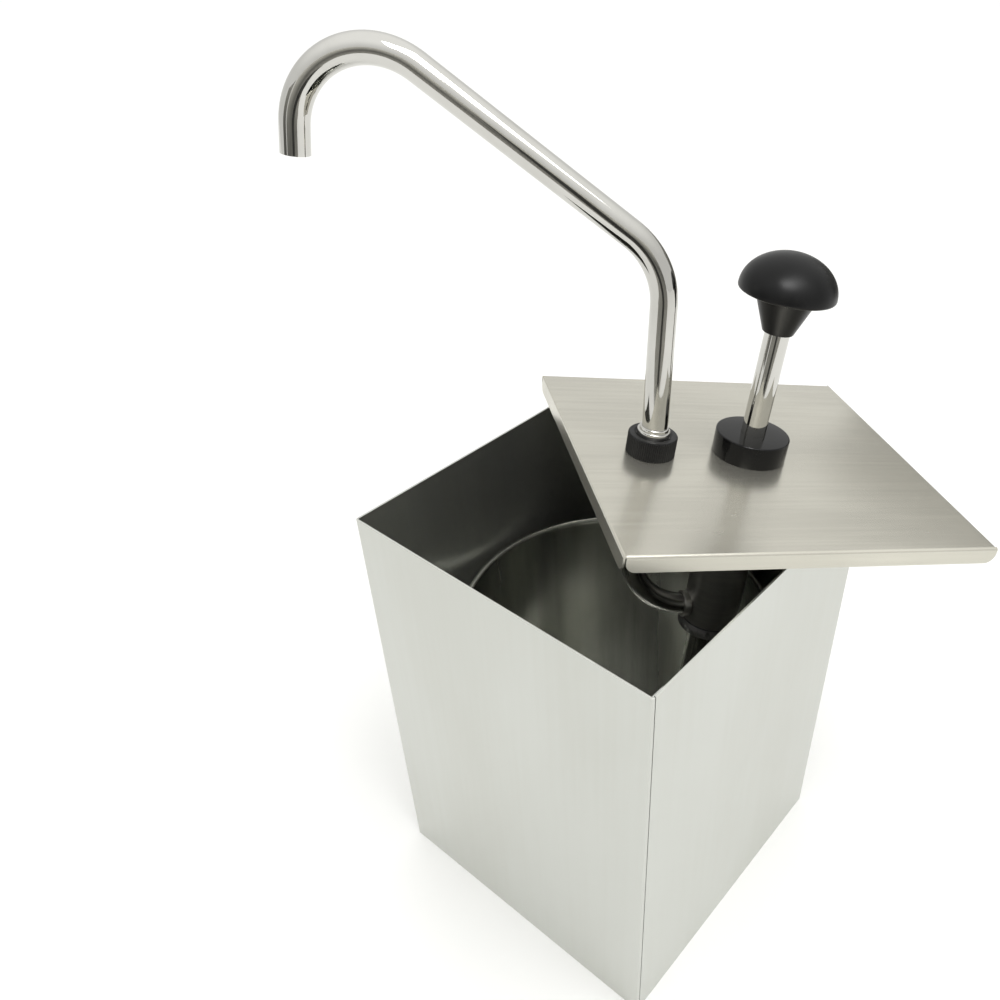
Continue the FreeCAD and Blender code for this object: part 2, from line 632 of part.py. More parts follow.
def rise_over_rim(rotation, slide_y):
    """Height of the lid's origin at which its lowest lip clears the rim by LID_REST_GAP where they cross."""
    half = LID_SIDE / 2
    rise = 0.0
    for inset in (0, LID_SHEET):
        reach = half - inset
        corners = [rotation.multVec(V(sx * reach, sy * reach, -LIP)) + V(LID_SLIDE_X, slide_y, 0)
                   for sx, sy in ((1, 1), (-1, 1), (-1, -1), (1, -1))]
        for index in range(4):
            start, end = corners[index], corners[(index + 1) % 4]
            for wall in (HOUSING_SIDE / 2, INNER_HALF):
                for sign in (1, -1):
                    for along, other in (("x", "y"), ("y", "x")):
                        a, b = getattr(start, along), getattr(end, along)
                        if (a - sign * wall) * (b - sign * wall) >= 0:
                            continue
                        part = (sign * wall - a) / (b - a)
                        crossing = start + (end - start) * part
                        if abs(getattr(crossing, other)) < HOUSING_SIDE / 2:
                            rise = max(rise, HOUSING_H + LID_REST_GAP - crossing.z)
    return rise


def slide_to_pot(rotation, rise):
    """How far along Y the lid lies, for the leaning barrel to come within BARREL_TO_POT of the pot's rim."""
    axis = rotation.multVec(Z_AXIS)
    drop = (rise - POT_RIM_Z) / axis.z               # down the pump's axis from the lid to the pot's rim
    reach = POT_R - BEAD_R - BARREL_TO_POT - BARREL_R / axis.z
    barrel_x = LID_SLIDE_X - drop * axis.x
    return math.sqrt(reach ** 2 - barrel_x ** 2) + drop * axis.y


def place_lid():
    """Slide and rise depend on each other, so they are settled in a few rounds."""
    rotation = lid_rotation()
    rise = HOUSING_H
    for _ in range(8):
        slide = slide_to_pot(rotation, rise)
        rise = rise_over_rim(rotation, slide)
    return FreeCAD.Placement(V(LID_SLIDE_X, slide, rise), rotation)


LID_PLACE = place_lid()

LIP_SIDES = ("right", "back", "left", "front")       # from the lid's own +x, a quarter turn each
HOUSING_NODES = {
    "housing_shell": make_housing_shell,
    "housing_base": make_housing_base,
    "inner_pot": make_inner_pot,
}
LID_NODES = {
    "lid": make_lid,
    "barrel": make_barrel,
    "barrel_gasket": make_barrel_gasket,
    "cap_nut": make_cap_nut,
    "rod_wiper": make_wiper,
    "rod_bush": make_rod_bush,
    "plunger_rod": make_rod,
    "rod_plug": make_rod_plug,
    "piston": make_piston,
    "piston_seal": make_piston_seal,
    "piston_washer": make_piston_washer,
    "piston_screw": make_piston_screw,
    "knob": make_knob,
    "knob_insert": make_knob_insert,
    "foot_valve": make_foot_valve,
    "foot_seal": make_foot_seal,
    "inlet_ball": make_inlet_ball,
    "ball_cage": make_ball_cage,
    "dip_tube": make_dip_tube,
    "return_spring": make_return_spring,
    "riser_tube": make_riser_tube,
    "outlet_stub": make_outlet_stub,
    "outlet_ball": make_outlet_ball,
    "spout_seal": make_spout_seal,
    "spout_nut": make_spout_nut,
    "spout_ferrule": make_ferrule,
    "spout_tube": make_spout,
}


def main():
    os.makedirs("parts", exist_ok=True)
    for name, make in HOUSING_NODES.items():
        make().exportStep(f"parts/{name}.step")
    on_lid = {name: make() for name, make in LID_NODES.items()}
    for quarter, side in enumerate(LIP_SIDES):
        on_lid[f"lid_lip_{side}"] = make_lid_lip(quarter)
    for name, piece in on_lid.items():
        piece.Placement = LID_PLACE.multiply(piece.Placement)
        piece.exportStep(f"parts/{name}.step")
    tip = spout_pen()
    up = LID_PLACE.Rotation.multVec(Z_AXIS)
    for label, point in (("lid", V(0, 0, 0)), ("outlet", STUB_AXIS), ("spout tip", tip.point)):
        place = LID_PLACE.multVec(point)
        print(f"{label}: {place.x:.3f} {place.y:.3f} {place.z:.3f}")
    print(f"pump axis: {up.x:.6f} {up.y:.6f} {up.z:.6f}")


main()
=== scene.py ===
# %% [markdown]
# # Condiment pump dispenser
# A square steel housing stands on a counter. A round pot hangs inside it, and a flat lid lies askew on its
# rim. The lid carries a plunger pump, and a tall swan-neck spout that swivels in a black knurled nut.
# The solids are loaded first, as a frame that is never moved. Every visible piece is then modelled over the
# solid that it stands for, and rides on the same body, so that it follows the pump's real motion.

# %% Load the frame
import bpy
import bmesh
import json
import math
from mathutils import Matrix, Vector


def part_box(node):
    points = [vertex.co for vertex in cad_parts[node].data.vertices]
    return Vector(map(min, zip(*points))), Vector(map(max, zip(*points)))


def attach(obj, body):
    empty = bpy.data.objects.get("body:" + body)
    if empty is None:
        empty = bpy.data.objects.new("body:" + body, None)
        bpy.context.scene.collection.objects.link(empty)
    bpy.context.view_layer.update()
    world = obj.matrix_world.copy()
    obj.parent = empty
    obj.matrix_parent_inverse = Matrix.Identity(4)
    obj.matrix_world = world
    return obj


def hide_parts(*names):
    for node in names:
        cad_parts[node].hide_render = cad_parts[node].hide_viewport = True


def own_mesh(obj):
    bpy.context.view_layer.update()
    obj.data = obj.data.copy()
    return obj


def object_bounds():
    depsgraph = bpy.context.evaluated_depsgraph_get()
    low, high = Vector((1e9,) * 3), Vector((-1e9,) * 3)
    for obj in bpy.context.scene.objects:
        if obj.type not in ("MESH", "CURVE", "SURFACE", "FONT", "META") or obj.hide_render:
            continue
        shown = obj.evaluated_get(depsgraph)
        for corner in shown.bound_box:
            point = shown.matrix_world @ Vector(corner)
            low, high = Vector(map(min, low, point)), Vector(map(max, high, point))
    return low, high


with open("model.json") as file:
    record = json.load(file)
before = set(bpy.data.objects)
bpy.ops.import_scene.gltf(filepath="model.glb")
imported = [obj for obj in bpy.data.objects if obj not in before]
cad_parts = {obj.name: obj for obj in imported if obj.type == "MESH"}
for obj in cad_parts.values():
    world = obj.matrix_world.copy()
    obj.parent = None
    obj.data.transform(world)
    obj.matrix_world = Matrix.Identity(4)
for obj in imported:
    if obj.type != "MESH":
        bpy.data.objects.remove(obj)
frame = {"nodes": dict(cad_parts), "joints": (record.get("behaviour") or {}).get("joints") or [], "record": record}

solids_low, solids_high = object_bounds()
joints = {joint["name"]: joint for joint in frame["joints"]}

# %% [markdown]
# ## The lid's own axes
# The lid is turned and tipped, so nothing on it is square to the world. A maker would work at the bench with
# the lid lying flat, and only then lay it on the housing. The same is done here: each piece on the lid is
# modelled upright, with the pump's axis at the origin and the sheet's top face at height 0, and is laid in
# place at the end. The frame's joints say where that is: the cap nut turns about the pump's axis, and the
# spout about the outlet's. Sizes are in millimetres, as on a workshop drawing, and MM turns them into metres.

# %% Lid axes from the joints
MM = 0.001
pump_point = Vector(joints["cap_nut_turn"]["pos_m"])
outlet_point = Vector(joints["spout_swivel"]["pos_m"])
lid_up = Vector(joints["cap_nut_turn"]["axis"]).normalized()
lid_along = (pump_point - outlet_point).normalized()
lid_across = lid_up.cross(lid_along).normalized()
LID_FRAME = Matrix.Translation(pump_point) @ Matrix((lid_along, lid_across, lid_up)).transposed().to_4x4()
OUTLET_X = -(pump_point - outlet_point).length / MM
OUTLET = Matrix.Translation((OUTLET_X * MM, 0, 0))
print("outlet stands", round(OUTLET_X, 2), "mm from the pump's axis")


def node_size_on_lid(node):
    """Lowest and highest corner of a solid in the lid's own axes, in millimetres."""
    to_lid = LID_FRAME.inverted()
    points = [to_lid @ v.co for v in frame["nodes"][node].data.vertices]
    low = Vector([min(p[i] for p in points) for i in range(3)]) / MM
    high = Vector([max(p[i] for p in points) for i in range(3)]) / MM
    return low, high


# %% [markdown]
# ## Helpers at the bench
# Blender's operators act on all that is selected, so each helper first clears that or chooses its own piece.
# Half sections and plans are drawn as a chain of points: a plane is merged to a single point, and that point
# is pushed along, step by step. A finished mesh is closed, turned outwards and smoothed up to its real edges.

# %% Choose, push and smooth
POINT_PLANE = 0.01        # in metres; a plane of any small size merges to one point
DOUBLES = 0.002           # points nearer than this are merged
SHARP_ANGLE = 35          # degrees; an edge that turns further stays sharp


def clear_choice():
    """Nothing is being edited and nothing is selected."""
    if bpy.context.object and bpy.context.object.mode != "OBJECT":
        bpy.ops.object.mode_set(mode="OBJECT")
    bpy.ops.object.select_all(action="DESELECT")


def choose_only(piece):
    """One piece is selected and active, and nothing else."""
    clear_choice()
    piece.select_set(True)
    bpy.context.view_layer.objects.active = piece


def named(name):
    """The piece that was added last, under its own name."""
    bpy.context.object.name = name
    return bpy.context.object


def edit_all():
    """Edit mode, with the whole mesh selected."""
    bpy.ops.object.mode_set(mode="EDIT")
    bpy.ops.mesh.select_all(action="SELECT")


def start_chain(name, x, y, z):
    """A piece that is one point, in edit mode, with the point selected."""
    clear_choice()
    bpy.ops.mesh.primitive_plane_add(size=POINT_PLANE)
    piece = named(name)
    edit_all()
    bpy.ops.mesh.merge(type="CENTER")
    bpy.ops.transform.translate(value=(x * MM, y * MM, z * MM))
    return piece


def push(x, y, z):
    """Extrudes what is selected, in millimetres."""
    bpy.ops.mesh.extrude_region_move(TRANSFORM_OT_translate={"value": (x * MM, y * MM, z * MM)})


def smooth(piece, angle=SHARP_ANGLE):
    """Smooths all edges but those that turn further than the angle."""
    choose_only(piece)
    bpy.ops.object.shade_smooth_by_angle(angle=math.radians(angle))


def close_mesh(piece, angle=SHARP_ANGLE):
    """Merges doubles, points the faces outwards and smooths all but the sharp edges."""
    bpy.ops.mesh.select_all(action="SELECT")
    bpy.ops.mesh.remove_doubles(threshold=DOUBLES * MM)
    bpy.ops.mesh.normals_make_consistent(inside=False)
    bpy.ops.object.mode_set(mode="OBJECT")
    smooth(piece, angle)


def apply_modifier(piece, kind, **settings):
    """Adds a modifier to the piece and applies it at once."""
    choose_only(piece)
    modifier = piece.modifiers.new(kind.lower(), kind)
    for key, value in settings.items():
        setattr(modifier, key, value)
    bpy.ops.object.modifier_apply(modifier=modifier.name)


print("doubles merge within", DOUBLES, "mm, edges over", SHARP_ANGLE, "degrees stay sharp")

# %% [markdown]
# ## The lathe
# Most of the pump was turned on a lathe. A turned piece is one half section, spun once round the upright
# axis. The section is a list of points, each a radius and a height, and the rounded corners that a real
# cutting tool leaves are short arcs of points in it. A section whose last point is its first gives a closed
# skin, and points on the axis become the poles when the doubles are merged.

# %% Lathe
def corner(centre_r, centre_z, radius, start, end, steps=6):
    """Points of a rounded corner, from one angle to another, both measured from outwards to upwards."""
    points = []
    for step in range(steps + 1):
        angle = math.radians(start + (end - start) * step / steps)
        points.append((centre_r + radius * math.cos(angle), centre_z + radius * math.sin(angle)))
    return points


def closed(section):
    """A section that ends where it starts."""
    return section + section[:1]


def turned(name, section, steps=96):
    """The section's (radius, height) points are chained and spun once round the upright axis."""
    radius, height = section[0]
    piece = start_chain(name, radius, 0, height)
    for next_radius, next_height in section[1:]:
        push(next_radius - radius, 0, next_height - height)
        radius, height = next_radius, next_height
    bpy.ops.mesh.select_all(action="SELECT")
    bpy.ops.mesh.spin(steps=steps, angle=2 * math.pi, center=(0, 0, 0), axis=(0, 0, 1))
    close_mesh(piece)
    return piece


print("a quarter of a corner takes", len(corner(0, 0, 1, 0, 90)), "points")

# %% [markdown]
# ## The tube bender
# The spout and the outlet under the lid are bent tube. A ring is pushed along the straight runs and spun
# round the bends, as real tube is pulled round a former. The wall's thickness is then added inwards, so that
# an open end shows its rim.

# %% Tube bender
SPIN_SIGN = -1.0          # spin turns against the right-hand rule
BEND_STEP = 3             # degrees of bend between two rings
FEWEST_RINGS = 4
TUBE_SHARP_ANGLE = 60


def bent_tube(name, radius, wall, moves, sides=48):
    """A ring pushed along runs, ("run", length), and spun round bends, ("bend", radius, to angle)."""
    clear_choice()
    bpy.ops.mesh.primitive_circle_add(vertices=sides, radius=radius * MM)
    piece = named(name)
    edit_all()
    x, z, lean = 0.0, 0.0, 0.0
    for move in moves:
        if move[0] == "run":
            step_x = move[1] * math.sin(math.radians(lean))
            step_z = move[1] * math.cos(math.radians(lean))
            push(step_x, 0, step_z)
            x, z = x + step_x, z + step_z
            continue
        bend_r, to_lean = move[1], move[2]
        side = 1 if to_lean > lean else -1
        centre_x = x + side * bend_r * math.cos(math.radians(lean))
        centre_z = z - side * bend_r * math.sin(math.radians(lean))
        turn = abs(to_lean - lean)
        bpy.ops.mesh.spin(steps=max(FEWEST_RINGS, round(turn / BEND_STEP)),
                          angle=SPIN_SIGN * side * math.radians(turn),
                          center=(centre_x * MM, 0, centre_z * MM), axis=(0, 1, 0))
        x = centre_x - side * bend_r * math.cos(math.radians(to_lean))
        z = centre_z + side * bend_r * math.sin(math.radians(to_lean))
        lean = to_lean
    close_mesh(piece, TUBE_SHARP_ANGLE)
    apply_modifier(piece, "SOLIDIFY", thickness=wall * MM, offset=-1, use_even_offset=True)
    smooth(piece, TUBE_SHARP_ANGLE)
    return piece


print("a right-angled bend takes", round(90 / BEND_STEP), "rings")

# %% [markdown]
# ## Place, rider and finish
# A piece is modelled upright at the origin, and its place then goes into its mesh, while the object itself
# stays at the origin. After that it is told which body it rides on and which solids it stands for, and it
# gets its materials.

# %% Lay and finish
def lay(piece, place):
    """Puts the place into the mesh; the object itself stays at the origin."""
    piece.data.transform(place)
    piece.data.update()


def finish_piece(piece, body, slot, *nodes, materials=()):
    """The piece rides on its body, stands for its solids and wears its finish."""
    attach(piece, body)
    if nodes:
        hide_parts(*nodes)
    piece.data.materials.clear()
    for material in materials:
        piece.data.materials.append(material)
    print(piece.name, "faces:", len(piece.data.polygons))


# %% [markdown]
# ## Node helpers
# A material is a tree of small nodes, and building one by hand means adding nodes and drawing links. These
# helpers do both in one call, so that the groups and finishes below read like a recipe. An input may be a
# plain number or another node's output.

# %% Node helpers
MIX_A, MIX_B, MIX_OUT = 6, 7, 2       # a Mix node's colour sockets come after those for numbers and vectors


def new_group(name, inputs, outputs):
    """A node group with named inputs (label, kind, value) and outputs (label, kind)."""
    group = bpy.data.node_groups.new(name, "ShaderNodeTree")
    for label, kind, value in inputs:
        socket = group.interface.new_socket(name=label, in_out="INPUT", socket_type=kind)
        if value is not None:
            socket.default_value = value
    for label, kind in outputs:
        group.interface.new_socket(name=label, in_out="OUTPUT", socket_type=kind)
    return group, group.nodes.new("NodeGroupInput"), group.nodes.new("NodeGroupOutput")


def add(tree, kind, **settings):
    """A new node with its settings."""
    node = tree.nodes.new(kind)
    for key, value in settings.items():
        setattr(node, key, value)
    return node


def feed(tree, socket, value):
    """A link if the value is another node's output, and otherwise a plain value."""
    if hasattr(value, "is_linked"):
        tree.links.new(value, socket)
    else:
        socket.default_value = value


def noise(tree, vector, scale, detail, roughness=0.5):
    """Noise between 0 and 1."""
    node = add(tree, "ShaderNodeTexNoise")
    for name, value in (("Vector", vector), ("Scale", scale), ("Detail", detail), ("Roughness", roughness)):
        feed(tree, node.inputs[name], value)
    return node.outputs["Fac"]


def spread(tree, value, low, high, to_low=0.0, to_high=1.0):
    """A value's range pulled apart, with soft ends."""
    node = add(tree, "ShaderNodeMapRange", interpolation_type="SMOOTHSTEP")
    for name, end in (("Value", value), ("From Min", low), ("From Max", high),
                      ("To Min", to_low), ("To Max", to_high)):
        feed(tree, node.inputs[name], end)
    return node.outputs["Result"]


def math_node(tree, operation, *values):
    """One sum, difference, product or quotient."""
    node = add(tree, "ShaderNodeMath", operation=operation)
    for index, value in enumerate(values):
        feed(tree, node.inputs[index], value)
    return node.outputs["Value"]


def blend_colour(tree, factor, first, second):
    """One colour blended into another by a mask."""
    node = add(tree, "ShaderNodeMix", data_type="RGBA")
    tree.links.new(factor, node.inputs["Factor"])
    tree.links.new(first, node.inputs[MIX_A])
    tree.links.new(second, node.inputs[MIX_B])
    return node.outputs[MIX_OUT]


print("a Mix node's colour sockets are", MIX_A, "and", MIX_B, "in,", MIX_OUT, "out")

# %% [markdown]
# ## Effects that several finishes share
# Sheet steel is never one flat grey. Brushing leaves fine lines along one direction, rolling and wiping leave
# broad soft clouds, and light catches both in the roughness as much as in the colour. One node group makes
# all of this from a stretched noise and a broad one, and each finish gives it its own direction, tones and
# strength. Moulded plastic needs less: a faint skin like orange peel, and a little unevenness in its gloss.

# %% Shared node groups
LINE_TONE, CLOUD_TONE = 0.6, 0.4                        # what each adds to the tone
LINE_GLOSS, CLOUD_GLOSS, MARK_GLOSS = 0.35, 0.5, 0.15   # and to the roughness
FINISH_OUTPUTS = [("Color", "NodeSocketColor"), ("Roughness", "NodeSocketFloat"),
                  ("Height", "NodeSocketFloat")]


def make_sheet_group():
    """Brushed lines along one direction, broad clouds and a few handling marks."""
    group, given, result = new_group(
        "brushed_sheet",
        [("Lines", "NodeSocketVector", None), ("Place", "NodeSocketVector", None),
         ("Light", "NodeSocketColor", (0.7, 0.7, 0.68, 1)), ("Dark", "NodeSocketColor", (0.6, 0.6, 0.58, 1)),
         ("Smooth", "NodeSocketFloat", 0.25), ("Rough", "NodeSocketFloat", 0.4)], FINISH_OUTPUTS)
    lines = noise(group, given.outputs["Lines"], 1.0, 5.0, 0.62)
    clouds = spread(group, noise(group, given.outputs["Place"], 1.0, 3.0), 0.3, 0.7)
    marks = spread(group, noise(group, given.outputs["Place"], 7.0, 2.0), 0.66, 0.74)
    both = math_node(group, "ADD", math_node(group, "MULTIPLY", lines, LINE_TONE),
                     math_node(group, "MULTIPLY", clouds, CLOUD_TONE))
    toned = spread(group, both, 0.25, 0.75)
    colour = blend_colour(group, toned, given.outputs["Dark"], given.outputs["Light"])
    group.links.new(colour, result.inputs["Color"])
    between_clouds = math_node(group, "SUBTRACT", 1.0, clouds)
    gloss = math_node(group, "ADD", math_node(group, "MULTIPLY", lines, LINE_GLOSS),
                      math_node(group, "MULTIPLY", between_clouds, CLOUD_GLOSS))
    gloss = math_node(group, "ADD", gloss, math_node(group, "MULTIPLY", marks, MARK_GLOSS))
    rough = spread(group, gloss, 0.0, 1.0, given.outputs["Smooth"], given.outputs["Rough"])
    group.links.new(rough, result.inputs["Roughness"])
    group.links.new(lines, result.inputs["Height"])
    return group


def make_moulding_group():
    """The faint skin and uneven gloss of moulded plastic or rubber."""
    group, given, result = new_group(
        "moulded_skin",
        [("Place", "NodeSocketVector", None), ("Light", "NodeSocketColor", (0.03, 0.03, 0.03, 1)),
         ("Dark", "NodeSocketColor", (0.02, 0.02, 0.02, 1)), ("Smooth", "NodeSocketFloat", 0.3),
         ("Rough", "NodeSocketFloat", 0.45)], FINISH_OUTPUTS)
    broad = spread(group, noise(group, given.outputs["Place"], 60.0, 3.0), 0.3, 0.7)
    skin = noise(group, given.outputs["Place"], 1400.0, 2.0)
    colour = blend_colour(group, broad, given.outputs["Dark"], given.outputs["Light"])
    rough = spread(group, broad, 0.0, 1.0, given.outputs["Smooth"], given.outputs["Rough"])
    group.links.new(colour, result.inputs["Color"])
    group.links.new(rough, result.inputs["Roughness"])
    group.links.new(skin, result.inputs["Height"])
    return group


sheet_group = make_sheet_group()
moulding_group = make_moulding_group()
print("node groups:", [group.name for group in bpy.data.node_groups])

# %% [markdown]
# ## How a finish is made
# Each finish is one material with its own Principled shader, so its fixed values sit on the shader's own
# sockets. The grain's direction is given by stretching the coordinates: long along the brushing, very fine
# across it. On the lid the coordinates are first turned into the lid's own axes, because the brushing runs
# along the sheet's side. Height reaches the shader through a very shallow bump.

# %% Finish helpers
BUMP_DEPTH = 0.00002


def start_material(name, metallic, **fixed):
    """A material with its shader's fixed values set, and the coordinates that its pattern lies in."""
    material = bpy.data.materials.new(name)
    material.use_nodes = True
    tree = material.node_tree
    shader = tree.nodes["Principled BSDF"]
    shader.inputs["Metallic"].default_value = metallic
    for key, value in fixed.items():
        shader.inputs[key.replace("_", " ")].default_value = value
    place = add(tree, "ShaderNodeTexCoord").outputs["Object"]
    return material, tree, shader, place


def turned_to_lid(tree, vector):
    """Object coordinates in the lid's own axes."""
    to_lid = LID_FRAME.inverted()
    node = add(tree, "ShaderNodeMapping")
    node.inputs["Location"].default_value = to_lid.to_translation()
    node.inputs["Rotation"].default_value = to_lid.to_euler()
    tree.links.new(vector, node.inputs["Vector"])
    return node.outputs["Vector"]


def stretched(tree, vector, x, y, z):
    """Coordinates that run faster along an axis with a larger number, so a pattern is finer there."""
    node = add(tree, "ShaderNodeMapping")
    node.inputs["Scale"].default_value = (x, y, z)
    tree.links.new(vector, node.inputs["Vector"])
    return node.outputs["Vector"]


def use_group(tree, shader, group, values, bump):
    """The group in a material: colour and roughness to the shader, height through a bump."""
    node = add(tree, "ShaderNodeGroup", node_tree=group)
    for key, value in values.items():
        feed(tree, node.inputs[key], value)
    tree.links.new(node.outputs["Color"], shader.inputs["Base Color"])
    tree.links.new(node.outputs["Roughness"], shader.inputs["Roughness"])
    raised = add(tree, "ShaderNodeBump")
    raised.inputs["Strength"].default_value = bump
    raised.inputs["Distance"].default_value = BUMP_DEPTH
    tree.links.new(node.outputs["Height"], raised.inputs["Height"])
    tree.links.new(raised.outputs["Normal"], shader.inputs["Normal"])


def grey(value, warm=0.0):
    """A neutral tone, or a slightly warm one."""
    return (value * (1 + warm), value * (1 + warm * 0.6), value * (1 - warm), 1)


def sheet_material(name, light, dark, smooth_end, rough_end, lines, clouds=(14, 14, 14), on_lid=False,
                   bump=0.25, metallic=1.0, **fixed):
    """Steel or brass: two tones, two ends of its roughness, and how fine its lines are along each axis."""
    material, tree, shader, place = start_material(name, metallic, **fixed)
    if on_lid:
        place = turned_to_lid(tree, place)
    use_group(tree, shader, sheet_group,
              {"Lines": stretched(tree, place, *lines), "Place": stretched(tree, place, *clouds),
               "Light": light, "Dark": dark, "Smooth": smooth_end, "Rough": rough_end}, bump)
    return material


def plastic_material(name, light, dark, smooth_end, rough_end, bump=0.2, **fixed):
    """Moulded plastic or rubber: two tones and two ends of its roughness."""
    material, tree, shader, place = start_material(name, 0.0, **fixed)
    use_group(tree, shader, moulding_group,
              {"Place": place, "Light": light, "Dark": dark, "Smooth": smooth_end, "Rough": rough_end}, bump)
    return material


print("bump depth:", BUMP_DEPTH / MM, "mm")

# %% [markdown]
# ## Steel finishes
# The housing is satin outside and plain mill sheet inside. The pot is drawn, so it has broad upright bands.
# The lid is brushed along its side, and brushing also stretches its highlights, which is what anisotropy
# does. The spout, rod and balls are mirror polished. The barrel under the lid is darker and duller turned
# steel. The outlet tube under the lid wears a darker copy of the polished tube's finish, which is painted
# shade for the lid's shadow that it hangs in; the dip tube shares it.

# %% Steel finishes
wall_outside = sheet_material("satin_wall", (0.592, 0.602, 0.570, 1), (0.568, 0.575, 0.538, 1), 0.36, 0.42,
                              (200, 200, 7), clouds=(9, 9, 4), bump=0.06)
wall_inside = sheet_material("mill_wall_inside", (0.45, 0.46, 0.44, 1), (0.36, 0.37, 0.35, 1), 0.20, 0.30,
                             (260, 260, 9), clouds=(16, 16, 5), bump=0.12)
pot_steel = sheet_material("drawn_pot", (0.64, 0.645, 0.60, 1), (0.36, 0.365, 0.335, 1), 0.22, 0.31,
                           (70, 70, 3), clouds=(27, 27, 1.0), bump=0.05)
lid_steel = sheet_material("brushed_lid", grey(0.575, 0.08), grey(0.505, 0.08), 0.20, 0.29, (7, 420, 420),
                           clouds=(6, 20, 20), on_lid=True, bump=0.15, metallic=0.84, Anisotropic=0.5,
                           Anisotropic_Rotation=0.25)
mirror_steel = sheet_material("mirror_tube", grey(0.57, 0.03), grey(0.51, 0.035), 0.035, 0.07, (90, 90, 90),
                              bump=0.02)
# A darker copy of the polished tube finish: painted shade for the outlet tube that hangs in the lid's shadow.
shade_darkened_tube = sheet_material("tube_steel_painted_shade", grey(0.34, 0.03), grey(0.27, 0.03), 0.16, 0.24, (90, 90, 90),
                           bump=0.04)
pump_steel = sheet_material("turned_steel", grey(0.34, 0.04), grey(0.27, 0.04), 0.32, 0.42, (30, 30, 600),
                            on_lid=True, metallic=0.9)
foot_steel = sheet_material("blackened_steel", grey(0.09, 0.03), grey(0.07, 0.03), 0.50, 0.60, (30, 30, 300),
                            on_lid=True, metallic=0.6)
insert_brass = sheet_material("insert_brass", (0.78, 0.60, 0.30, 1), (0.68, 0.50, 0.24, 1), 0.2, 0.32,
                              (30, 30, 600), on_lid=True)
print("sheet and tube finishes:", len(bpy.data.materials))

# %% [markdown]
# ## Plastic and rubber finishes
# The cap is a deep gloss black, the knob satin and the nut matt. A black moulding still mirrors the bright
# room at a glancing view, so its specular level is lowered until it reads as black.

# %% Plastic and rubber finishes
cap_plastic = plastic_material("gloss_cap", grey(0.006), grey(0.004), 0.05, 0.10, bump=0.03,
                               Specular_IOR_Level=0.2)
knob_plastic = plastic_material("satin_knob", grey(0.007, -0.02), grey(0.004, -0.02), 0.32, 0.40, bump=0.12,
                                Specular_IOR_Level=0.18)
nut_plastic = plastic_material("matt_nut", grey(0.010), grey(0.007), 0.40, 0.52, Specular_IOR_Level=0.3)
white_moulding = plastic_material("natural_moulding", grey(0.80, 0.03), grey(0.74, 0.04), 0.35, 0.5)
seal_rubber = plastic_material("seal_rubber", grey(0.04), grey(0.03), 0.55, 0.7)
print("all finishes:", len(bpy.data.materials))

# %% [markdown]
# ## Housing walls
# The housing is one strip of 1 mm sheet, folded three times and closed by a butt seam beside the fourth fold.
# It is made here just as in the shop: a strip is drawn in plan from seam to seam, its four corners are
# rounded to the fold's radius, it is pushed up to the full height, and only then gets its thickness. The
# seam is the real gap between the strip's two ends. The inner face gets the darker, less polished finish of
# the sheet's other side.

# %% Housing walls
wall_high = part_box("housing_shell")[1]
HALF = wall_high.x / MM
WALL_H = wall_high.z / MM
SHEET = 1.0
FOLD_R = 1.4
FOLD_SEGMENTS = 6
SEAM_GAP = 0.45
SEAM_TO_FOLD = 0.15
EDGE_SOFT = 0.12          # cut edges are broken, not sharp
CUT_EDGE_ANGLE = 60       # degrees; only a cut edge turns further than this
FOLD_SMOOTH_ANGLE = 32
NEAR = 0.01               # a point this close to a line is on it


def chosen_vertices(piece, test):
    """In edit mode, selects the vertices that pass the test, and nothing else."""
    bpy.ops.mesh.select_all(action="DESELECT")
    bpy.ops.mesh.select_mode(type="VERT")
    cage = bmesh.from_edit_mesh(piece.data)
    for vertex in cage.verts:
        vertex.select = test(vertex.co / MM)
    cage.select_flush(True)
    bmesh.update_edit_mesh(piece.data)


def break_edges(piece):
    """Softens the cut edges; the folds are round already."""
    apply_modifier(piece, "BEVEL", width=EDGE_SOFT * MM, segments=2, limit_method="ANGLE",
                   angle_limit=math.radians(CUT_EDGE_ANGLE))


def smooth_folds(piece):
    """Smooth folds, and large flat faces that stay evenly lit right up to them."""
    smooth(piece, FOLD_SMOOTH_ANGLE)
    apply_modifier(piece, "WEIGHTED_NORMAL", mode="FACE_AREA", weight=100, keep_sharp=True)


def make_housing_walls():
    seam_y = FOLD_R + SEAM_TO_FOLD - HALF
    plan = [(HALF, seam_y + SEAM_GAP), (HALF, HALF), (-HALF, HALF), (-HALF, -HALF), (HALF, -HALF),
            (HALF, seam_y)]
    x, y = plan[0]
    walls = start_chain("housing_walls", x, y, 0)
    for next_x, next_y in plan[1:]:
        push(next_x - x, next_y - y, 0)
        x, y = next_x, next_y
    chosen_vertices(walls, lambda p: abs(abs(p.x) - HALF) < NEAR and abs(abs(p.y) - HALF) < NEAR)
    bpy.ops.mesh.bevel(affect="VERTICES", offset=FOLD_R * MM, segments=FOLD_SEGMENTS)
    bpy.ops.mesh.select_all(action="SELECT")
    push(0, 0, WALL_H)
    bpy.ops.mesh.select_all(action="SELECT")
    bpy.ops.mesh.normals_make_consistent(inside=False)
    bpy.ops.object.mode_set(mode="OBJECT")
    apply_modifier(walls, "SOLIDIFY", thickness=SHEET * MM, offset=-1, use_even_offset=True,
                   material_offset=1)
    break_edges(walls)
    smooth_folds(walls)
    return walls


housing_walls = make_housing_walls()
finish_piece(housing_walls, "housing", "housing_steel", "housing_shell",
             materials=(wall_outside, wall_inside))

# %% [markdown]
# ## Backing strip
# Behind the butt seam stands a narrow strip that both ends of the sheet are welded to. It fills the gap that
# the eye would otherwise look through. A cube is enough, brought to its size and place in edit mode, with
# its edges broken.

# %% Backing strip
BACKING_W = 8.0
BACKING_T = 0.8
BACKING_SHORT = 1.0       # it is this much shorter than the wall
BACKING_SMOOTH_ANGLE = 30


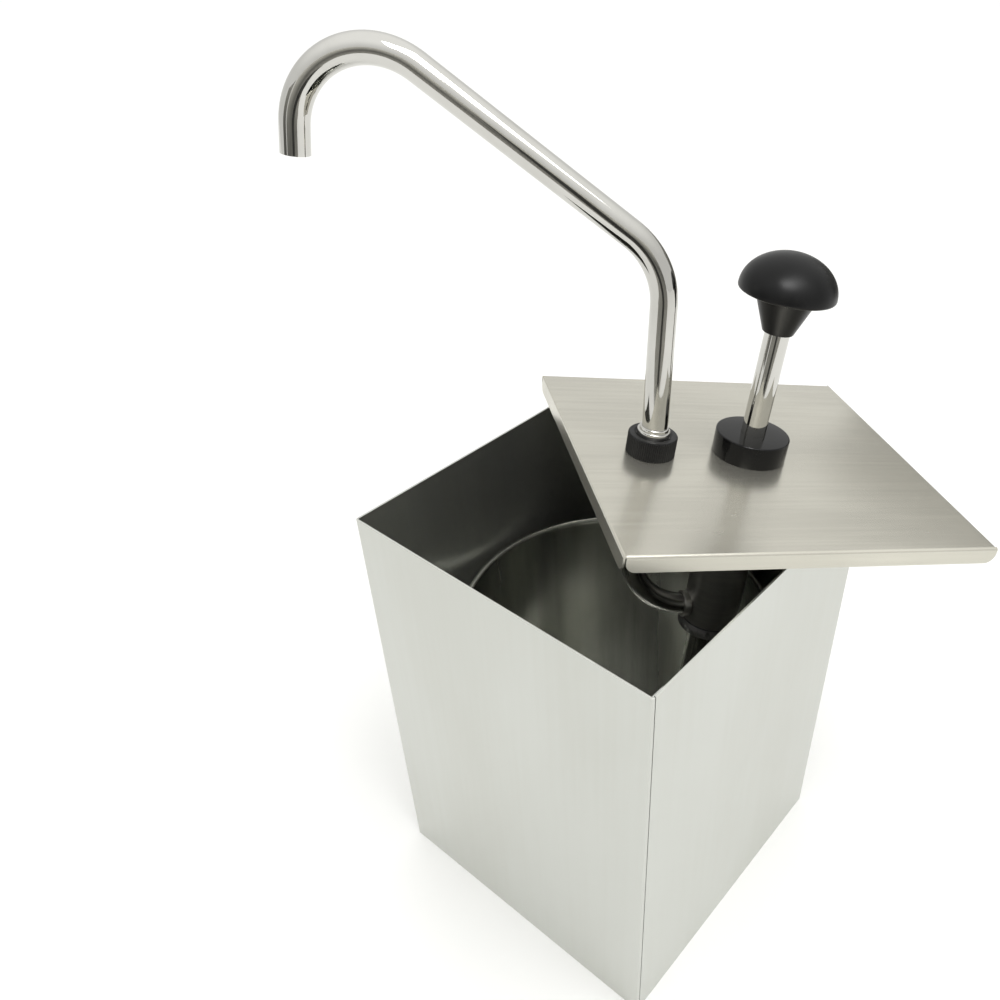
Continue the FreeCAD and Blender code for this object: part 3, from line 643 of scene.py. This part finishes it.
def make_backing_strip():
    clear_choice()
    bpy.ops.mesh.primitive_cube_add(size=1.0)
    strip = named("seam_backing")
    centre_x = HALF - (SHEET + BACKING_T / 2)
    centre_y = SHEET + BACKING_W / 2 - HALF
    bpy.ops.object.mode_set(mode="EDIT")
    bpy.ops.transform.resize(value=(BACKING_T * MM, BACKING_W * MM, (WALL_H - BACKING_SHORT) * MM))
    bpy.ops.transform.translate(value=(centre_x * MM, centre_y * MM, WALL_H / 2 * MM))
    bpy.ops.object.mode_set(mode="OBJECT")
    apply_modifier(strip, "BEVEL", width=EDGE_SOFT * MM, segments=2)
    smooth(strip, BACKING_SMOOTH_ANGLE)
    return strip


seam_backing = make_backing_strip()
finish_piece(seam_backing, "housing", "housing_steel", materials=(wall_inside,))

# %% [markdown]
# ## Inner pot
# The pot is deep drawn: one turned shape with a rounded bottom and a rim rolled outwards round nothing but
# air. The half section goes up the outside, round the bead and down the inside, and the lathe closes it.

# %% Inner pot
pot_low, pot_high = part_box("inner_pot")
BEAD_R = 1.6
POT_WALL = 0.8
POT_R = pot_high.x / MM - BEAD_R
POT_TURN = 14.0           # inside radius at the bottom
POT_TURN_STEPS = 10
BEAD_STEPS = 24


def make_pot():
    bottom = pot_low.z / MM
    bead_z = pot_high.z / MM - BEAD_R
    inner_r = POT_R - POT_WALL
    outer_turn = POT_TURN + POT_WALL
    inner_end = 360 - math.degrees(math.acos(-POT_WALL / BEAD_R))
    outside = [(0, bottom)]
    outside += corner(POT_R - outer_turn, bottom + outer_turn, outer_turn, -90, 0, POT_TURN_STEPS)
    bead = corner(POT_R, bead_z, BEAD_R, -90, inner_end, BEAD_STEPS)
    inside = corner(inner_r - POT_TURN, bottom + POT_WALL + POT_TURN, POT_TURN, 0, -90, POT_TURN_STEPS)
    inside += [(0, bottom + POT_WALL)]
    return turned("pot_bowl", closed(outside + bead + inside), steps=160)


pot_bowl = make_pot()
finish_piece(pot_bowl, "pot", "pot_steel", "inner_pot", materials=(pot_steel,))

# %% [markdown]
# ## Lid sheet
# The lid is a square of sheet with a narrow lip folded down on each side. The corners aren't welded: each lip
# runs on over one corner and stops a slit short of the other, and its lower corners are rounded off so that
# they don't catch a hand. The flat is drawn first, each side is spun a quarter turn round its fold and pushed
# down, and the thickness and the two holes for the pump come last. It also gets a UV map, which the brushed
# finish's stretched highlights follow.

# %% Lid sheet
flat_high = node_size_on_lid("lid")[1]
lip_low, lip_high = node_size_on_lid("lid_lip_right")
LID_FLAT = flat_high.x
LID_HALF = lip_high.x
LIP_BOTTOM = lip_low.z
LID_FOLD_R = LID_HALF - LID_FLAT
LID_FOLD_STEPS = 8
LIP_CORNER = 5.0
LIP_SLIT = 0.4
BARREL_HOLE_R = 15.95
OUTLET_HOLE_R = 10.25


def cut_hole(piece, radius, x, depth=6.0, sides=96):
    clear_choice()
    bpy.ops.mesh.primitive_cylinder_add(vertices=sides, radius=radius * MM, depth=depth * MM,
                                        location=(x * MM, 0, 0))
    cutter = bpy.context.object
    apply_modifier(piece, "BOOLEAN", operation="DIFFERENCE", object=cutter, solver="EXACT")
    bpy.data.objects.remove(cutter)


def fold_lip(sheet, side_x, side_y):
    """One side is spun round its fold and pushed down, and its two ends are moved along."""
    chosen_vertices(sheet, lambda p: abs(p.x * side_x + p.y * side_y - LID_FLAT) < NEAR and abs(p.z) < NEAR)
    fold = (side_x * LID_FLAT * MM, side_y * LID_FLAT * MM, -LID_FOLD_R * MM)
    bpy.ops.mesh.spin(steps=LID_FOLD_STEPS, angle=SPIN_SIGN * math.pi / 2, center=fold,
                      axis=(-side_y, side_x, 0))
    push(0, 0, LIP_BOTTOM + LID_FOLD_R)
    for end, step in ((1, LID_FOLD_R), (-1, LIP_SLIT)):
        def at_end(p):
            beyond_fold = p.x * side_x + p.y * side_y > LID_FLAT + NEAR
            return beyond_fold and (p.y * side_x - p.x * side_y) * end > LID_FLAT - NEAR
        chosen_vertices(sheet, at_end)
        bpy.ops.transform.translate(value=(-side_y * step * MM, side_x * step * MM, 0))


def make_lid_sheet():
    clear_choice()
    bpy.ops.mesh.primitive_plane_add(size=2 * LID_FLAT * MM)
    sheet = named("lid_sheet")
    bpy.ops.object.mode_set(mode="EDIT")
    for side_x, side_y in ((1, 0), (0, 1), (-1, 0), (0, -1)):
        fold_lip(sheet, side_x, side_y)
    chosen_vertices(sheet, lambda p: abs(p.z - LIP_BOTTOM) < NEAR)
    bpy.ops.mesh.bevel(affect="VERTICES", offset=LIP_CORNER * MM, segments=FOLD_SEGMENTS)
    bpy.ops.mesh.select_all(action="SELECT")
    bpy.ops.mesh.normals_make_consistent(inside=False)
    bpy.ops.object.mode_set(mode="OBJECT")
    apply_modifier(sheet, "SOLIDIFY", thickness=SHEET * MM, offset=-1, use_even_offset=True)
    cut_hole(sheet, BARREL_HOLE_R, 0)
    cut_hole(sheet, OUTLET_HOLE_R, OUTLET_X)
    break_edges(sheet)
    edit_all()
    bpy.ops.uv.cube_project(cube_size=1.0)
    bpy.ops.object.mode_set(mode="OBJECT")
    smooth_folds(sheet)
    return sheet


lid_sheet = make_lid_sheet()
lay(lid_sheet, LID_FRAME)
finish_piece(lid_sheet, "lid", "lid_steel", "lid", "lid_lip_front", "lid_lip_right", "lid_lip_back",
             "lid_lip_left", materials=(lid_steel,))

# %% [markdown]
# ## Spout
# The spout is one length of 13 mm mirror-polished tube. It stands up out of its nut with a slight lean, bends
# over, runs up a long slope and ends in a swan neck that points straight down the pump's axis. The ring is
# pushed and spun along that route. At its foot sits a stepped collar, which the nut holds down.

# %% Spout
ferrule_low, ferrule_high = node_size_on_lid("spout_ferrule")
SPOUT_R = 6.5
SPOUT_WALL = 1.0
SPOUT_HEADING = 163.0
SPOUT_LEAN = 5.6
LEAN_BEND_R = 30.0
SPOUT_RISE = 60.7
LOW_BEND_R = 38.0
SLOPE = 61.5
SLOPE_RUN = 109.9
HIGH_BEND_R = 34.5
TIP_RUN = 11.5


def make_spout():
    foot = ferrule_low.z
    lean_arc = LEAN_BEND_R * math.radians(SPOUT_LEAN)
    spout = bent_tube("spout_pipe", SPOUT_R, SPOUT_WALL, [
        ("run", ferrule_high.z - foot), ("bend", LEAN_BEND_R, SPOUT_LEAN), ("run", SPOUT_RISE - lean_arc),
        ("bend", LOW_BEND_R, SLOPE), ("run", SLOPE_RUN), ("bend", HIGH_BEND_R, 180), ("run", TIP_RUN)],
        sides=64)
    turn = Matrix.Rotation(math.radians(SPOUT_HEADING), 4, "Z")
    lay(spout, LID_FRAME @ OUTLET @ Matrix.Translation((0, 0, foot * MM)) @ turn)
    return spout


def make_ferrule():
    flange_r, flange_t = 10.15, 1.2
    bead_r, bead_round = 8.35, 0.6
    step_r, step_h, step_round = 7.4, 1.7, 0.5
    low, top = ferrule_low.z, ferrule_high.z
    flange_top, step_z = low + flange_t, top - step_h
    section = [(SPOUT_R, low), (flange_r, low), (flange_r, flange_top), (bead_r, flange_top)]
    section += corner(bead_r - bead_round, step_z - bead_round, bead_round, 0, 90)
    section += [(step_r, step_z)]
    section += corner(step_r - step_round, top - step_round, step_round, 0, 90)
    section += [(SPOUT_R, top)]
    ferrule = turned("spout_collar", closed(section))
    lay(ferrule, LID_FRAME @ OUTLET)
    return ferrule


spout_pipe = make_spout()
finish_piece(spout_pipe, "spout", "polished_steel", "spout_tube", materials=(mirror_steel,))
spout_collar = make_ferrule()
finish_piece(spout_collar, "spout", "polished_steel", "spout_ferrule", materials=(mirror_steel,))

# %% [markdown]
# ## Knurled nut
# A black nut clamps the spout's collar down on the outlet. Its side is knurled with fine upright ribs for the
# hand. The plain nut is turned first, with twice as many steps as ribs, and every other column of points on
# its side is then drawn in. That gives real ribs that catch the light, for few faces.

# %% Knurled nut
nut_low, nut_high = node_size_on_lid("spout_nut")
NUT_R = nut_high.y
NUT_ROUND = 0.9
RIBS = 72
RIB_DEPTH = 0.4
RIB_REACH = 0.3           # the ribs also take in this part of the rounded edge
RIB_SHARP_ANGLE = 25


def make_nut():
    low, top = nut_low.z, nut_high.z
    thread_r, lip_r, lip_flare = 10.25, 8.45, 1.3
    lip_t, lip_edge = 0.9, 0.2
    lip_z = top - lip_t
    section = [(thread_r, low), (NUT_R, low)]
    section += corner(NUT_R - NUT_ROUND, top - NUT_ROUND, NUT_ROUND, 0, 90)
    section += [(lip_r + lip_flare, top), (lip_r, lip_z + lip_edge), (lip_r, lip_z), (thread_r, lip_z)]
    nut = turned("knurled_nut", closed(section), steps=2 * RIBS)
    bpy.ops.object.mode_set(mode="EDIT")

    def in_groove(p):
        column = round(math.atan2(p.y, p.x) / (math.pi / RIBS))
        return math.hypot(p.x, p.y) > NUT_R - RIB_REACH * NUT_ROUND and column % 2 == 1
    chosen_vertices(nut, in_groove)
    drawn_in = 1 - RIB_DEPTH / NUT_R
    bpy.ops.transform.resize(value=(drawn_in, drawn_in, 1), center_override=(0, 0, 0))
    bpy.ops.object.mode_set(mode="OBJECT")
    smooth(nut, RIB_SHARP_ANGLE)
    lay(nut, LID_FRAME @ OUTLET)
    return nut


knurled_nut = make_nut()
finish_piece(knurled_nut, "spout_nut", "nut_plastic", "spout_nut", materials=(nut_plastic,))

# %% [markdown]
# ## Cap nut
# The pump's cap is a plain gloss disc with a narrow rounded edge. Under it, out of sight, are the bore that
# screws on to the barrel and the hub that holds the rod's bush, so the section goes all the way round.

# %% Cap nut
cap_low, cap_high = node_size_on_lid("cap_nut")
CAP_R = cap_high.x
CAP_ROUND = 0.7
CAP_FOOT_ROUND = 0.3
ROD_HOLE_R = 6.35
BUSH_R = 9.4


def make_cap():
    top, low = cap_high.z, cap_low.z
    roof_t, skin_t, hub_l = 2.4, 1.2, 7.0
    hub_r, bore_r = 14.1, 15.95
    roof, skin = top - roof_t, top - skin_t
    hub_end = skin - hub_l
    section = [(ROD_HOLE_R, top)] + corner(CAP_R - CAP_ROUND, top - CAP_ROUND, CAP_ROUND, 90, 0)
    section += corner(CAP_R - CAP_FOOT_ROUND, low + CAP_FOOT_ROUND, CAP_FOOT_ROUND, 0, -90, 3)
    section += [(bore_r, low), (bore_r, roof), (hub_r, roof), (hub_r, hub_end), (BUSH_R, hub_end),
                (BUSH_R, skin), (ROD_HOLE_R, skin)]
    cap = turned("pump_cap", closed(section), steps=128)
    lay(cap, LID_FRAME)
    return cap


pump_cap = make_cap()
finish_piece(pump_cap, "cap_nut", "cap_plastic", "cap_nut", materials=(cap_plastic,))

# %% [markdown]
# ## Plunger rod
# The rod is a length of straight polished tube. It slides through the cap, so its section is a plain
# rectangle between its two radii.

# %% Plunger rod
rod_low, rod_high = node_size_on_lid("plunger_rod")
ROD_R = rod_high.x
ROD_WALL = 1.4


def make_rod():
    inner = ROD_R - ROD_WALL
    section = [(ROD_R, rod_low.z), (ROD_R, rod_high.z), (inner, rod_high.z), (inner, rod_low.z)]
    rod = turned("plunger_shaft", closed(section), steps=80)
    lay(rod, LID_FRAME)
    return rod


plunger_shaft = make_rod()
finish_piece(plunger_shaft, "plunger", "polished_steel", "plunger_rod", materials=(mirror_steel,))

# %% [markdown]
# ## Knob
# The knob is a moulded mushroom: a flaring neck, a rounded lower edge and a dome that is a quarter of an
# ellipse in section. A blind hole in its neck takes the rod.

# %% Knob
knob_low, knob_high = node_size_on_lid("knob")
KNOB_SHRINK = 0.4         # the moulding is a little slimmer than its solid
KNOB_R = knob_high.x - KNOB_SHRINK
KNOB_EDGE = 1.5
NECK_R = 7.9
NECK_ROUND = 0.6
NECK_TOP_R = 15.0
NECK_FILLET = 0.9
NECK_L = 18.8
SOCKET_L = 12.0
SOCKET_R = 6.32
DOME_STEPS = 24


def make_knob():
    low, top = knob_low.z, knob_high.z
    under = low + NECK_L
    widest = under + KNOB_EDGE
    neck = [(SOCKET_R, low + SOCKET_L), (SOCKET_R, low)]
    neck += corner(NECK_R - NECK_ROUND, low + NECK_ROUND, NECK_ROUND, -90, -15, 4)
    root = corner(NECK_TOP_R + NECK_FILLET, under - NECK_FILLET, NECK_FILLET, 160, 90, 4)
    edge = corner(KNOB_R - KNOB_EDGE, widest, KNOB_EDGE, -90, 0, 8)
    dome = []
    for step in range(1, DOME_STEPS + 1):
        angle = math.radians(90 * step / DOME_STEPS)
        radius = KNOB_R * math.cos(angle) if step < DOME_STEPS else 0
        dome.append((radius, widest + (top - widest) * math.sin(angle)))
    section = neck + root + edge + dome + [(0, low + SOCKET_L)]
    knob = turned("push_knob", closed(section), steps=128)
    lay(knob, LID_FRAME)
    return knob


push_knob = make_knob()
finish_piece(push_knob, "plunger", "knob_plastic", "knob", materials=(knob_plastic,))

# %% [markdown]
# ## Under the lid
# The barrel hangs below the sheet with the outlet's tube bent into its side. Through the open corner of the
# housing only the tube's elbow and part of the barrel show, but the lid lifts off, so all of it is made. The
# boss that takes the tube is turned upright, laid on its side and joined to the barrel.

# %% Barrel and outlet tube
barrel_low, barrel_high = node_size_on_lid("barrel")
riser_low, riser_high = node_size_on_lid("riser_tube")
BARREL_R = 15.9
BORE_R = 14.7
FLANGE_R = 19.0
FLANGE_LOW, FLANGE_TOP = -4.0, -2.0
BOSS_REACH = 2.6
BOSS_R = 7.6
BOSS_ROUND = 0.5
BOSS_INSET = 0.3          # the boss starts this far outside the bore, within the wall
RISER_R = 6.0
RISER_WALL = 0.9
RISER_END = 0.6           # straight end that enters the boss
PORT_Z = riser_low.z + RISER_R
RISER_TOP = riser_high.z


def make_barrel():
    low, top = barrel_low.z, barrel_high.z
    section = [(BORE_R, low), (BARREL_R, low), (BARREL_R, FLANGE_LOW), (FLANGE_R, FLANGE_LOW),
               (FLANGE_R, FLANGE_TOP), (BARREL_R, FLANGE_TOP), (BARREL_R, top), (BORE_R, top)]
    barrel = turned("pump_barrel", closed(section))
    boss_l = BARREL_R + BOSS_REACH - BORE_R
    rim = corner(BOSS_R - BOSS_ROUND, boss_l - BOSS_ROUND, BOSS_ROUND, 0, 90, 3)
    boss = turned("barrel_boss", closed([(RISER_R, 0), (BOSS_R, 0)] + rim + [(RISER_R, boss_l)]), steps=48)
    beside = Matrix.Translation((-(BORE_R + BOSS_INSET) * MM, 0, PORT_Z * MM))
    lay(boss, beside @ Matrix.Rotation(-math.pi / 2, 4, "Y"))
    choose_only(barrel)
    boss.select_set(True)
    bpy.ops.object.join()
    smooth(barrel)
    lay(barrel, LID_FRAME)
    return barrel


def make_riser():
    bend_r = -OUTLET_X - BARREL_R
    riser = bent_tube("outlet_riser", RISER_R, RISER_WALL, [
        ("run", RISER_TOP - PORT_Z - bend_r), ("bend", bend_r, 90), ("run", RISER_END)])
    hang = Matrix.Translation((0, 0, RISER_TOP * MM)) @ Matrix.Rotation(math.pi, 4, "X")
    lay(riser, LID_FRAME @ OUTLET @ hang)
    return riser


pump_barrel = make_barrel()
finish_piece(pump_barrel, "lid", "pump_steel", "barrel", materials=(pump_steel,))
outlet_riser = make_riser()
# The outlet tube is polished steel; its darker finish is painted shade for the lid's shadow.
finish_piece(outlet_riser, "lid", "polished_steel", "riser_tube", materials=(shade_darkened_tube,))

# %% [markdown]
# ## Pieces inside the pump
# Seals, balls, piston, bush and the rest are simple turned solids that nobody sees until the pump is taken
# apart. Their solids already have the right shape, so each is copied, its loose triangles are merged and its
# round faces are smoothed, and it gets a real finish.

# %% Inner pieces
INNER_FINISHES = {
    "housing_base": wall_inside, "barrel_gasket": seal_rubber, "rod_wiper": seal_rubber,
    "rod_bush": white_moulding, "rod_plug": pump_steel, "piston": white_moulding,
    "piston_seal": seal_rubber, "piston_washer": pump_steel, "piston_screw": pump_steel,
    "knob_insert": insert_brass, "foot_valve": foot_steel, "foot_seal": seal_rubber,
    "inlet_ball": mirror_steel, "ball_cage": pump_steel, "dip_tube": shade_darkened_tube,
    "return_spring": pump_steel, "outlet_stub": pump_steel, "outlet_ball": mirror_steel,
    "spout_seal": seal_rubber,
}
SOLID_DOUBLES = 0.001     # a solid's triangles share their corners exactly, so this is enough
INNER_SHARP_ANGLE = 30
slot_of = {row["node"]: row["material_slot"] for row in frame["record"]["subparts"]}
body_nodes = frame["record"]["behaviour"]["bodies"]
body_of_node = {node: body for body, members in body_nodes.items() for node in members}


def smoothed_copy(node):
    """A copy of a solid, with a mesh of its own and none of the solid's marks."""
    clear_choice()
    piece = frame["nodes"][node].copy()
    piece.data = frame["nodes"][node].data.copy()
    piece.parent = None
    for key in list(piece.keys()):
        del piece[key]
    piece.name = node + "_made"
    bpy.context.collection.objects.link(piece)
    choose_only(piece)
    edit_all()
    bpy.ops.mesh.remove_doubles(threshold=SOLID_DOUBLES * MM)
    bpy.ops.object.mode_set(mode="OBJECT")
    smooth(piece, INNER_SHARP_ANGLE)
    return piece


inner_pieces = {}
for inner_node, inner_finish in INNER_FINISHES.items():
    inner_pieces[inner_node] = smoothed_copy(inner_node)
    finish_piece(inner_pieces[inner_node], body_of_node[inner_node], slot_of[inner_node], inner_node,
                 materials=(inner_finish,))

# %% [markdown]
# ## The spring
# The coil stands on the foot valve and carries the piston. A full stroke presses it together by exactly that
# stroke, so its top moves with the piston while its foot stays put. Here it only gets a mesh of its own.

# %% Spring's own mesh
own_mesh(inner_pieces["return_spring"])

# %% [markdown]
# ## Floor and cards
# Polished steel shows what stands around it, so what stands there is part of its look. The floor is plain
# and pale. Four painted cards stand round it, as in a product studio: they are seen only as reflections, and
# draw the crisp dark lines along the tubes and the soft shading down the walls. Each card is given by its
# heading and distance from the object, its width, its lower and upper edge, and its tones from foot to top.

# %% Floor and cards
FLOOR_SIZE = 8.0
MATT = 0.9
CARD_WARMTH = 0.05


def make_floor():
    clear_choice()
    bpy.ops.mesh.primitive_plane_add(size=FLOOR_SIZE)
    floor = named("pale_floor")
    material, _, shader, _ = start_material("pale_paper", 0.0, Roughness=MATT)
    shader.inputs["Base Color"].default_value = (0.93, 0.93, 0.92, 1)
    floor.data.materials.append(material)


def card_paint(name, foot, middle, top, height):
    """Painted in a soft ramp from foot to top."""
    material, tree, shader, place = start_material(name, 0.0, Roughness=MATT)
    split = add(tree, "ShaderNodeSeparateXYZ")
    tree.links.new(place, split.inputs["Vector"])
    ramp = add(tree, "ShaderNodeValToRGB")
    tree.links.new(math_node(tree, "DIVIDE", split.outputs["Z"], height), ramp.inputs["Fac"])
    stops = ramp.color_ramp.elements
    stops.new(0.5)
    for stop, tone in zip(stops, (foot, middle, top)):
        stop.color = grey(tone, CARD_WARMTH)
    tree.links.new(ramp.outputs["Color"], shader.inputs["Base Color"])
    return material


def make_card(name, heading, distance, width, low, high, tones):
    """An upright card that faces the object and shows only in reflections."""
    clear_choice()
    bpy.ops.mesh.primitive_plane_add(size=1.0)
    card = named(name)
    shape = Matrix.Diagonal((width, high - low, 1, 1))
    upright = Matrix.Rotation(math.pi / 2, 4, "X")
    away = Matrix.Translation((0, -distance, (low + high) / 2))
    lay(card, Matrix.Rotation(math.radians(heading + 90), 4, "Z") @ away @ upright @ shape)
    card.data.materials.append(card_paint(name + "_paint", *tones, high))
    card.visible_camera = False
    card.visible_diffuse = False
    card.visible_shadow = False
    print(name, "at", heading, "degrees,", distance, "m away")


make_floor()
make_card("dark_card", -57, 0.86, 0.24, 0.0, 0.54, (0.06, 0.02, 0.05))
make_card("grey_card", -62, 0.95, 1.50, 0.0, 0.72, (0.34, 0.13, 0.62))
make_card("left_card", -116, 1.1, 0.42, 0.10, 0.72, (0.20, 0.08, 0.30))
make_card("side_card", 84, 1.3, 0.95, 0.0, 0.66, (0.24, 0.10, 0.30))

# %% [markdown]
# ## Sky and lights
# A broad soft sky does most of the work. One soft light high on the right gives the tubes their white line
# and the dome its highlight. A second one looks down into the open mouth. It is kept out of the matt
# surfaces, so that it only brings out the polish of the pot and of the walls inside.

# %% Sky and lights
SKY_LOW, SKY_HIGH = 0.25, 0.9         # the sky brightens between these two heights of the view
SKY_DIM, SKY_BRIGHT = 0.86, 1.25


def make_sky():
    """Brightest overhead, a little dimmer towards the horizon."""
    world = bpy.data.worlds.new("studio_sky")
    bpy.context.scene.world = world
    world.use_nodes = True
    tree = world.node_tree
    background = tree.nodes["Background"]
    direction = add(tree, "ShaderNodeTexCoord").outputs["Generated"]
    split = add(tree, "ShaderNodeSeparateXYZ")
    tree.links.new(direction, split.inputs["Vector"])
    brightness = spread(tree, split.outputs["Z"], SKY_LOW, SKY_HIGH, SKY_DIM, SKY_BRIGHT)
    tree.links.new(brightness, background.inputs["Strength"])
    background.inputs["Color"].default_value = (1.0, 1.0, 0.985, 1)


def soft_light(name, place, target, size, power):
    """A square area light that points at its target and isn't seen itself."""
    light = bpy.data.lights.new(name, "AREA")
    light.shape = "RECTANGLE"
    light.size, light.size_y = size
    light.energy = power
    lamp = bpy.data.objects.new(name, light)
    bpy.context.collection.objects.link(lamp)
    lamp.location = place
    lamp.rotation_euler = (Vector(target) - Vector(place)).to_track_quat("-Z", "Y").to_euler()
    lamp.visible_camera = False
    print(name, "shines with", power, "W")
    return lamp


make_sky()
middle = (solids_low + solids_high) / 2
soft_light("key_right", (0.67, -0.04, 1.72), middle, (0.70, 0.70), 7)
mouth_fill = soft_light("mouth_fill", (0.32, -0.34, 1.30), (-0.01, 0.06, 0.02), (0.40, 0.40), 8)
mouth_fill.visible_diffuse = False

# %% [markdown]
# ## Camera
# The camera stands close, above the near corner, and looks down, so the walls draw together towards the
# floor. Its place comes first, then its turn, its tip downwards and a little roll.

# %% Camera
CAMERA_PLACE = (0.228148, -0.287949, 0.529266)
CAMERA_TURN = 37.53       # degrees from +Y towards -X
CAMERA_DROP = 37.57       # degrees below level
CAMERA_ROLL = 1.34
LENS, SENSOR = 33.27, 36.0
SHIFT_X, SHIFT_Y = -0.1288, 0.0198
CLIP_START = 0.01


def make_camera():
    view = bpy.data.cameras.new("view")
    view.sensor_width = SENSOR
    view.lens = LENS
    view.shift_x, view.shift_y = SHIFT_X, SHIFT_Y
    view.clip_start = CLIP_START
    camera = bpy.data.objects.new("view", view)
    bpy.context.collection.objects.link(camera)
    camera.matrix_world = (Matrix.Translation(CAMERA_PLACE)
                           @ Matrix.Rotation(math.radians(CAMERA_TURN), 4, "Z")
                           @ Matrix.Rotation(math.radians(90 - CAMERA_DROP), 4, "X")
                           @ Matrix.Rotation(math.radians(CAMERA_ROLL), 4, "Z"))
    bpy.context.scene.camera = camera


make_camera()
bpy.context.scene.view_settings.view_transform = "Standard"
print("camera:", LENS, "mm lens at", CAMERA_PLACE)
